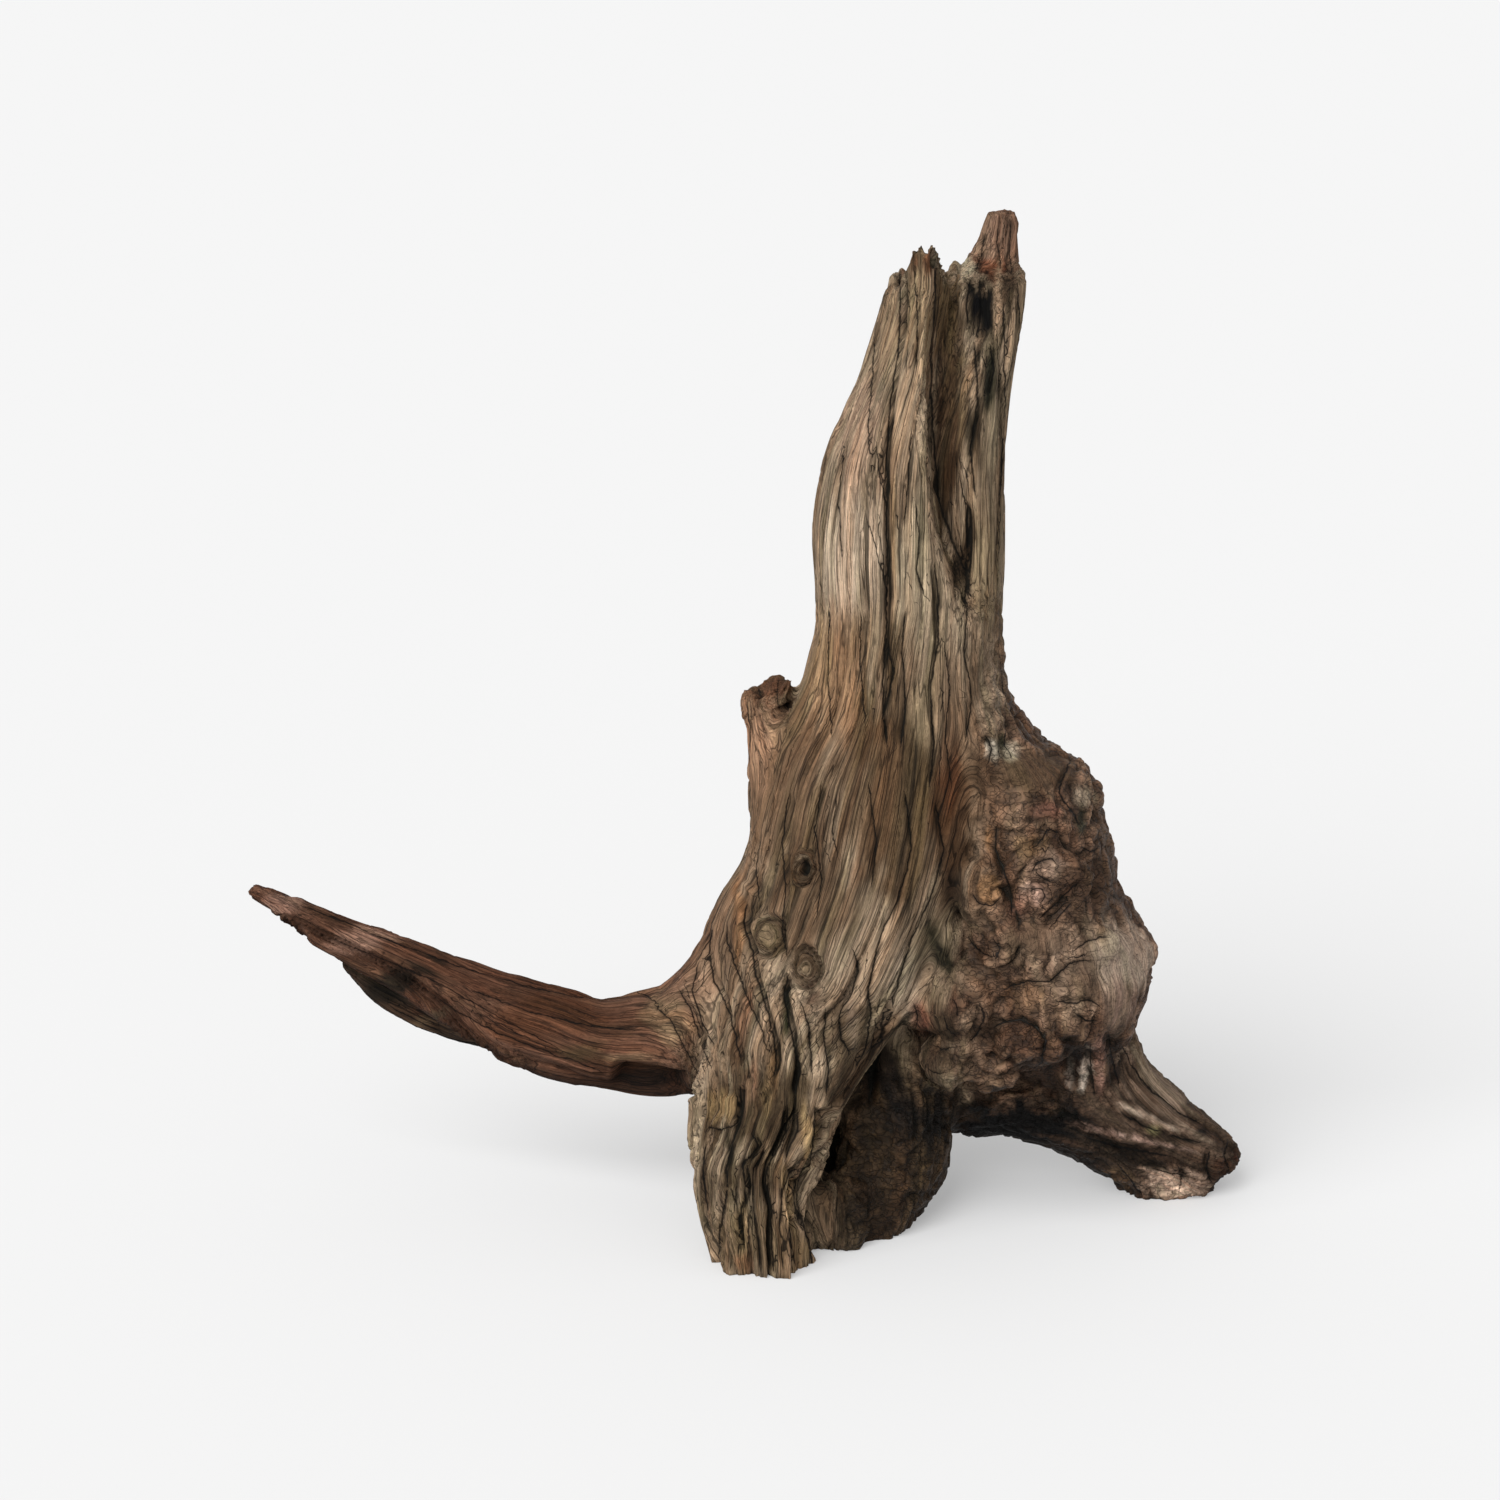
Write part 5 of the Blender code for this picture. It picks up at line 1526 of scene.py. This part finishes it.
@dataclass
class Driftwood:
    """The whole root: limbs and swellings fused into one skin, furrowed, tinted and cut flat at the feet."""

    limbs: tuple[Limb, ...] = field(default_factory=make_limbs)
    knobs: tuple[Knob, ...] = field(default_factory=make_knobs)
    marks: tuple[Mark, ...] = field(default_factory=make_marks)
    knots: tuple[Knot, ...] = field(default_factory=make_knots)
    patches: tuple[Patch, ...] = field(default_factory=make_patches)
    calm_places: tuple[Oval, ...] = field(default_factory=make_calm_places)
    foot_sway: FootSway = field(default_factory=FootSway)
    gnarls: Gnarls = field(default_factory=Gnarls)
    finish: WeatheredWood = field(default_factory=WeatheredWood)
    view: FrontView = field(default_factory=FrontView)
    # Cells in which the shells are fused, in millimetres.
    voxel: float = 0.85
    quick_voxel: float = 1.4
    triangles: int = 194000
    # The crotches are rounded by so many passes in cells of so many millimetres.
    fillet_passes: float = 12.0
    fillet_cell: float = 1.8
    # Passes that level the skin so that its own height over it can be read.
    levelling_passes: int = 30
    light_gain: float = 1.06
    saturation: float = 1.26
    # How far fibres wander, and how far from a crack its line is still measured, in millimetres.
    wander: float = 3.0
    seam_reach: float = 5.0

    def build(self) -> bpy.types.Object:
        """Makes the piece.

        Returns:
            The finished object, at the origin.
        """
        obj = self.plain()
        cell = self.voxel
        applied(obj, "REMESH", mode="VOXEL", voxel_size=cell * MM)
        LOG.info("fused skin: %d points", len(obj.data.vertices))
        points = vertex_rows(obj.data.vertices, "co") / MM
        edges = edge_rows(obj.data)
        grains = GrainField(self.limbs)
        reading = grains.read(points)
        passes = round(self.fillet_passes * (self.fillet_cell / cell) ** 2)
        points = smoothed(points, edges, passes, self.softness(points, reading))
        put_points(obj.data, points)
        normals = vertex_rows(obj.data.vertex_normals, "vector")
        reading = grains.read(points)
        seen = self.view.seen(points)
        for grain in (reading.straight, reading.flow):
            self.bend(grain, points, reading, seen)
        height = self.relief(points, normals, reading, seen)
        raised = points + normals * height[:, None]
        put_points(obj.data, raised)
        self.dress(obj, raised, normals, edges, reading)
        LOG.info("carved skin")
        applied(obj, "TRIANGULATE")
        ratio = min(1.0, self.triangles / len(obj.data.polygons))
        applied(obj, "DECIMATE", ratio=ratio)
        flatten_feet(obj.data)
        obj.data.materials.append(self.finish.material())
        obj.data.shade_smooth()
        LOG.info("finished skin: %d triangles", len(obj.data.polygons))
        return obj

    def plain(self) -> bpy.types.Object:
        """All shells in one mesh, still passing through each other.

        Returns:
            The object, linked to the scene.
        """
        points, faces, first = [], [], 0
        for solid in (*self.limbs, *self.knobs):
            part, quads, ends = solid.shell().mesh_parts(first)
            points.append(part)
            faces += quads.tolist() + ends.tolist()
            first += len(part)
        mesh = bpy.data.meshes.new("driftwood_skin")
        mesh.from_pydata((np.vstack(points) * MM).tolist(), [], faces)
        obj = bpy.data.objects.new("driftwood_skin", mesh)
        bpy.context.scene.collection.objects.link(obj)
        return obj

    def softness(self, points: Array, reading: Reading) -> Array:
        """How far the crotches are rounded.

        Args:
            points: Places in the scene, one row each.
            reading: The grain there.

        Returns:
            1 all over, and 0.1 on thin tips and the torn rim.
        """
        shares = reading.shares
        thin = shares["side_root"] * smooth_step(-points[:, 0], 60.0, 120.0) + shares["side_blade"]
        thin = thin + shares["splinter"] + shares["stem"] * smooth_step(points[:, 2], 380.0, 395.0)
        return 1.0 - 0.9 * np.clip(thin, 0.0, 1.0)

    def foot(self, points: Array, reading: Reading) -> Array:
        """1 on the front foot, where the wood has split into upright laminae."""
        low = 1.0 - smooth_step(points[:, 2], 55.0, 120.0)
        return reading.shares["stem"] * low * (1.0 - smooth_step(points[:, 1], -20.0, 0.0))

    def bend(self, grain: Array, points: Array, reading: Reading, seen: tuple[Array, Array]) -> None:
        """Bends fibre coordinates by slow noise, sways them in the foot and rings them round each knot.

        Inside a knot a fibre's place across is its distance from the knot's middle, and outside it
        the fibres run like a stream past a post: u R^2 / r^2 is added across.

        Args:
            grain: The coordinates, changed in place.
            points: Places in the scene, one row each.
            reading: The grain there.
            seen: Where the places stand in the picture.
        """
        across, down = seen
        pixel = self.view.pixel()
        slow = reading.straight / np.array([30, 30, 55], np.float32)
        grain[:, 0] += self.wander * noise(slow, 1)
        grain[:, 1] += self.wander * noise(slow, 2)
        grain[:, 0] += self.foot_sway.shift(down) * pixel * reading.shares["stem"] * (points[:, 1] < 0)
        for index, knot in enumerate(self.knots):
            u = (across - knot.across) * pixel
            s = (down - knot.down) * pixel * knot.squash
            apart = np.hypot(u, s) + 0.16 * knot.radius * noise(points / (0.7 * knot.radius), 61 + index)
            post = 0.7 * knot.radius
            front = points[:, 1] < -5.0
            stream = front * bell(apart, 3.2 * knot.radius) * post**2 / np.maximum(apart, post) ** 2
            grain[:, 0] += u * stream
            inside = (0.62 * front * (1.0 - smooth_step(apart / knot.radius, 0.3, 1.4)))[:, None]
            ring = np.stack([apart + 40.0 * index, 0.0 * apart, 0.0 * apart], axis=1)
            grain += (inside * (ring - grain)).astype(np.float32)

    def relief(self, points: Array, normals: Array, reading: Reading, seen: tuple[Array, Array]) -> Array:
        """How far the skin stands above the plain limbs, in millimetres.

        A noise is read in cells of so many millimetres across the grain and along it, and its last
        number says which noise it is. A bell of a noise is a line where the noise passes through 0.

        Args:
            points: Places on the plain skin, one row each.
            normals: Outward directions there.
            reading: The grain there.
            seen: Where the places stand in the picture.

        Returns:
            Flutes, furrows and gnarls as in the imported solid, and everything finer.
        """
        flute, furrow, gnarl, check, crinkle = reading.depths.T
        foot = self.foot(points, reading)
        broad, fine = reading.straight, reading.flow
        calm = self.calm(normals, points, seen)
        # Broad flutes and furrows
        height = 1.3 * flute * noise(cells(broad, 17, 130), 5)
        height -= furrow * bell(noise(cells(broad, 6.5, 95), 6), 0.2)
        height += furrow * noise(cells(broad, 9, 90), 8)
        # Laminae of the front foot
        height -= 3.6 * foot * bell(noise(cells(fine, 6.0, 120), 6), 0.2)
        height += 2.2 * foot * noise(cells(fine, 8, 110), 8)
        height += 1.0 * foot * noise(cells(fine, 3.0, 90), 28)
        # Lumps and deep folds of gnarled skin
        swirl = self.gnarls.swirl(points)
        height += gnarl * (1.3 * self.gnarls.lumps(points, swirl) - 0.3) * (0.4 + 0.6 * calm)
        height -= gnarl * 0.8 * bell(self.gnarls.folds(points, swirl), 0.22) * calm
        # Thin checks, flaked layers and fine ribs
        height -= 1.2 * check * bell(noise(cells(fine, 3.4, 150), 21), 0.15)
        height -= 2.0 * check * bell(noise(cells(fine, 11, 260), 22), 0.05)
        height += 0.9 * check * smooth_step(noise(cells(fine, 7, 110), 24), -0.06, 0.06)
        height += 0.5 * check * noise(cells(fine, 2.0, 70), 23)
        # Wrinkles and beads of gnarled skin
        height -= crinkle * calm * 1.1 * bell(self.gnarls.wrinkles(points, swirl), 0.16)
        height += crinkle * calm * 0.8 * self.gnarls.beads(points, swirl)
        return height + self.front_marks(points, normals, seen)

    def calm(self, normals: Array, points: Array, seen: tuple[Array, Array]) -> Array:
        """How much of the gnarled relief stays: little in the bare smooth places of the front.

        Args:
            normals: Outward directions of the skin.
            points: Places in the scene, one row each.
            seen: Where the places stand in the picture.

        Returns:
            1 elsewhere, and down to 0.15 in the middle of a smooth place.
        """
        facing = smooth_step(self.view.facing(points, normals), 0.0, 0.3)
        share = np.zeros(len(points))
        for oval in self.calm_places:
            share = np.maximum(share, oval.inside(*seen) * facing)
        return 1.0 - 0.85 * share

    def front_marks(self, points: Array, normals: Array, seen: tuple[Array, Array]) -> Array:
        """Height of marks and knots, which lie on the face that the front view sees.

        Args:
            points: Places in the scene, one row each.
            normals: Outward directions there.
            seen: Where the places stand in the picture.

        Returns:
            Millimetres added to each place.
        """
        facing = smooth_step(self.view.facing(points, normals), 0.05, 0.45)
        across, down = seen
        pixel = self.view.pixel()
        height = np.zeros(len(points))
        for mark in self.marks:
            near, rise = mark.raised(across, down, pixel)
            height[near] += rise
        for knot in self.knots:
            away = np.hypot(across - knot.across, (down - knot.down) * knot.squash) * pixel / knot.radius
            height += knot.collar * bell(away - 0.8, 0.35) - knot.eye * bell(away, 0.42)
        return height * facing

    def seams(self, points: Array, normals: Array) -> tuple[Array, Array]:
        """Where the black lines of cracks run.

        Args:
            points: Places in the scene, one row each.
            normals: Outward directions there.

        Returns:
            Millimetres from the nearest crack, negative on its left, and the crack's half width,
            which is 0 away from cracks and at their ends.
        """
        across, down = self.view.seen(points)
        facing = smooth_step(self.view.facing(points, normals), 0.05, 0.3)
        offset, width = np.full(len(points), self.seam_reach), np.zeros(len(points))
        for mark in self.marks:
            if mark.crack() == 0.0:
                continue
            near, away, fade = mark.measured(across, down, self.view.pixel())
            closer = np.abs(away) < np.abs(offset[near])
            near, away, fade = near[closer], away[closer], fade[closer]
            offset[near] = away
            fading = 1.0 - smooth_step(np.abs(away), 0.5 * self.seam_reach, 0.95 * self.seam_reach)
            width[near] = mark.crack() * fade * fading
        return offset, width * facing

    def dress(
        self, obj: bpy.types.Object, points: Array, normals: Array, edges: Array, reading: Reading
    ) -> None:
        """Writes what the finish reads: grain, height over the level skin, gnarled share, cracks, tint.

        Args:
            obj: The object, whose mesh takes the attributes.
            points: Its places in millimetres, one row each.
            normals: Outward directions there.
            edges: Point indices of each edge.
            reading: The grain there.
        """
        # The height over the level skin drives the painted shade of hollows and the painted light of crests
        # in the finish.
        even = smoothed(points, edges, self.levelling_passes, np.ones(len(points)))
        height = ((points - even) * normals).sum(axis=1)
        offset, width = self.seams(points, normals)
        put_attribute(obj.data, "grain", "FLOAT_VECTOR", "vector", reading.flow / 10.0)
        put_attribute(obj.data, "height", "FLOAT", "value", height)
        calm = self.calm(normals, points, self.view.seen(points))
        swirl = smooth_step(reading.depths[:, 4], 0.25, 0.75) * (0.3 + 0.7 * calm)
        put_attribute(obj.data, "swirl", "FLOAT", "value", swirl)
        put_attribute(obj.data, "seam", "FLOAT", "value", offset)
        put_attribute(obj.data, "seam_width", "FLOAT", "value", width)
        tint = self.tint(points, normals, reading)
        put_attribute(obj.data, "tint", "FLOAT_COLOR", "color", np.hstack([tint, np.ones((len(tint), 1))]))

    def tint(self, points: Array, normals: Array, reading: Reading) -> Array:
        """Colour of the wood at each point.

        Each limb's dark and pale colour are mixed by noise along the grain, and the patches of the
        front are laid over with edges frayed along the fibre. Painted shade darkens what faces down.

        Args:
            points: Places in the scene, one row each.
            normals: Outward directions there.
            reading: The grain there.

        Returns:
            Linear light, one row of red, green and blue for each point.
        """
        dark, pale = reading.colours
        fibre = reading.flow
        share = 0.5 + 0.42 * noise(cells(fibre, 9, 60), 41) + 0.3 * noise(cells(fibre, 4, 35), 42)
        tint = dark + (pale - dark) * np.clip(share, 0.0, 1.0)[:, None]
        facing = smooth_step(self.view.facing(points, normals), 0.0, 0.3)
        across, down = self.view.seen(points)
        fray = 0.45 * noise(cells(fibre, 3.0, 34), 43) + 0.25 * noise(points / 9.0, 44)
        for patch in self.patches:
            amount = (patch.strength * patch.inside(across, down, fray) * facing)[:, None]
            tint = tint + (linear(patch.colour) - tint) * amount
        # Painted shade: what faces down is darkened by up to two thirds, and gnarled skin takes painted shade
        # in its creases and folds and painted light on its crests.
        under = smooth_step(-normals[:, 2], 0.2, 0.8)[:, None]
        tint = tint * (1.0 - 0.66 * under) * self.crease_shade_and_crest_light(points, normals, reading)[:, None]
        grey = tint.mean(axis=1, keepdims=True)
        lively = self.saturation - 0.8 * np.minimum(grey, 0.3)
        return np.maximum(grey + (tint - grey) * lively, 0.001) * self.light_gain

    def crease_shade_and_crest_light(self, points: Array, normals: Array, reading: Reading) -> Array:
        """Painted shade that darkens the creases and folds of gnarled skin, and painted light that pales its
        crests.

        Args:
            points: Places in the scene, one row each.
            normals: Outward directions there.
            reading: The grain there.

        Returns:
            Share of light kept at each point, above 1 on crests where light is painted.
        """
        gnarl, crinkle = reading.depths[:, 2], reading.depths[:, 4]
        calm = self.calm(normals, points, self.view.seen(points))
        swirl = self.gnarls.swirl(points)
        crease = bell(self.gnarls.wrinkles(points, swirl), 0.14)
        crest = smooth_step(self.gnarls.beads(points, swirl), 0.12, 0.4)
        fold = bell(self.gnarls.folds(points, swirl), 0.2)
        # Painted shade in the creases, painted light on the crests and painted shade in the folds
        crease_shade = 1.0 - 0.5 * crinkle * calm * crease
        crest_light = 1.0 + 0.75 * crinkle * calm * crest
        fold_shade = 1.0 - 0.35 * np.minimum(gnarl, 1.0) * calm * fold
        return crease_shade * crest_light * fold_shade


def applied(obj: bpy.types.Object, kind: str, **settings: object) -> None:
    """Runs one modifier on the object and keeps its result as the object's mesh.

    Args:
        obj: The object.
        kind: The modifier's kind.
        **settings: The modifier's own values by name.
    """
    modifier = obj.modifiers.new(kind.title(), kind)
    for name, value in settings.items():
        setattr(modifier, name, value)
    graph = bpy.context.evaluated_depsgraph_get()
    mesh = bpy.data.meshes.new_from_object(obj.evaluated_get(graph))
    obj.modifiers.clear()
    obj.data = mesh


def vertex_rows(items: bpy.types.bpy_prop_collection, name: str) -> Array:
    """Reads a vector from every item.

    Args:
        items: The items, such as a mesh's vertices.
        name: What is read from them.

    Returns:
        One row of three numbers for each item.
    """
    rows = np.empty(len(items) * 3, np.float32)
    items.foreach_get(name, rows)
    return rows.reshape(-1, 3).astype(float)


def edge_rows(mesh: bpy.types.Mesh) -> Array:
    """Reads the edges of a mesh.

    Args:
        mesh: The mesh.

    Returns:
        The two point indices of every edge, one row each.
    """
    rows = np.empty(len(mesh.edges) * 2, np.int32)
    mesh.edges.foreach_get("vertices", rows)
    return rows.reshape(-1, 2)


def put_points(mesh: bpy.types.Mesh, points: Array) -> None:
    """Writes points in millimetres as the mesh's vertices in metres."""
    mesh.vertices.foreach_set("co", (points * MM).astype(np.float32).ravel())
    mesh.update()


def put_attribute(mesh: bpy.types.Mesh, name: str, kind: str, slot: str, values: Array) -> None:
    """Writes one value for each vertex as a named attribute."""
    attribute = mesh.attributes.new(name, kind, "POINT")
    attribute.data.foreach_set(slot, np.ascontiguousarray(values, np.float32).ravel())


def smoothed(points: Array, edges: Array, passes: int, weight: Array) -> Array:
    """Moves each point towards the mean of its neighbours, the share PACE of the way in each pass.

    Args:
        points: Places, one row each.
        edges: Point indices of each edge.
        passes: How often to repeat.
        weight: Share of the move that each point takes.

    Returns:
        The smoothed places.
    """
    count = len(points)
    ends = np.concatenate([edges[:, 0], edges[:, 1]])
    others = np.concatenate([edges[:, 1], edges[:, 0]])
    near = np.maximum(np.bincount(ends, minlength=count), 1)
    step = PACE * weight / near
    for _ in range(passes):
        moved = points.copy()
        for axis in range(3):
            total = np.bincount(ends, weights=points[others, axis], minlength=count)
            moved[:, axis] += step * (total - near * points[:, axis])
        points = moved
    return points


def flatten_feet(mesh: bpy.types.Mesh) -> None:
    """Cuts the feet off at the floor and closes the cuts.

    Args:
        mesh: The mesh, changed in place.
    """
    bm = bmesh.new()
    bm.from_mesh(mesh)
    whole = [*bm.verts, *bm.edges, *bm.faces]
    floor, down = (0, 0, 0), (0, 0, -1)
    bmesh.ops.bisect_plane(bm, geom=whole, dist=1e-7, plane_co=floor, plane_no=down, clear_outer=True)
    rim = [edge for edge in bm.edges if edge.is_boundary]
    closed = bmesh.ops.holes_fill(bm, edges=rim, sides=0)
    bmesh.ops.triangulate(bm, faces=closed["faces"])
    bm.to_mesh(mesh)
    bm.free()


@dataclass
class Studio:
    """Pale floor, soft light and the camera at the front view's angle."""

    view: FrontView = field(default_factory=FrontView)
    sky: float = 0.62
    key: float = 3.4
    key_angle: float = 50.0
    # How far the key light is tipped from straight down, and turned round the upright, in degrees.
    key_tip: float = 48.0
    key_turn: float = -38.0
    # Half a side of the floor and its height, in metres.
    floor_half: float = 12.0
    floor_height: float = -0.0002
    floor_white: float = 0.45
    floor_glow: float = 0.315

    def build(self) -> None:
        """Makes the camera, the floor and the lights."""
        self.camera()
        self.floor()
        self.lights()

    def camera(self) -> None:
        """Stands the camera where the front view has it."""
        data = bpy.data.cameras.new("camera")
        data.lens = self.view.lens
        data.sensor_width = self.view.sensor
        data.clip_end = 50.0
        camera = bpy.data.objects.new("camera", data)
        camera.location = self.view.place() * MM
        camera.rotation_euler = (math.radians(90.0 - self.view.elevation), 0.0, 0.0)
        bpy.context.scene.collection.objects.link(camera)
        bpy.context.scene.camera = camera

    def floor(self) -> None:
        """A wide pale sheet just under the feet."""
        side, low = self.floor_half, self.floor_height
        mesh = bpy.data.meshes.new("floor")
        corners = [(-side, -side, low), (side, -side, low), (side, side, low), (-side, side, low)]
        mesh.from_pydata(corners, [], [(0, 1, 2, 3)])
        floor = bpy.data.objects.new("floor", mesh)
        bpy.context.scene.collection.objects.link(floor)
        material = bpy.data.materials.new("floor")
        material.use_nodes = True
        shader = material.node_tree.nodes["Principled BSDF"]
        white = self.floor_white
        shader.inputs["Base Color"].default_value = (white, white, white, 1.0)
        shader.inputs["Roughness"].default_value = 1.0
        shader.inputs["Specular IOR Level"].default_value = 0.0
        shader.inputs["Emission Color"].default_value = (1.0, 1.0, 1.0, 1.0)
        shader.inputs["Emission Strength"].default_value = self.floor_glow
        mesh.materials.append(material)

    def lights(self) -> None:
        """An even pale sky and one very soft key light from the upper left."""
        scene = bpy.context.scene
        world = bpy.data.worlds.new("studio")
        world.use_nodes = True
        background = world.node_tree.nodes["Background"]
        background.inputs["Color"].default_value = (1.0, 1.0, 1.0, 1.0)
        background.inputs["Strength"].default_value = self.sky
        scene.world = world
        data = bpy.data.lights.new("key", "SUN")
        data.energy = self.key
        data.angle = math.radians(self.key_angle)
        key = bpy.data.objects.new("key", data)
        key.rotation_euler = (math.radians(self.key_tip), 0.0, math.radians(self.key_turn))
        scene.collection.objects.link(key)
        scene.view_settings.view_transform = "Standard"


def main() -> None:
    """Builds the wood and its studio."""
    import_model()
    wood = Driftwood().build()
    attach(wood, "root")
    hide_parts("driftwood")
    LOG.info("driftwood dressed")
    Studio().build()
    LOG.info("studio set")


if __name__ == "__main__":
    main()
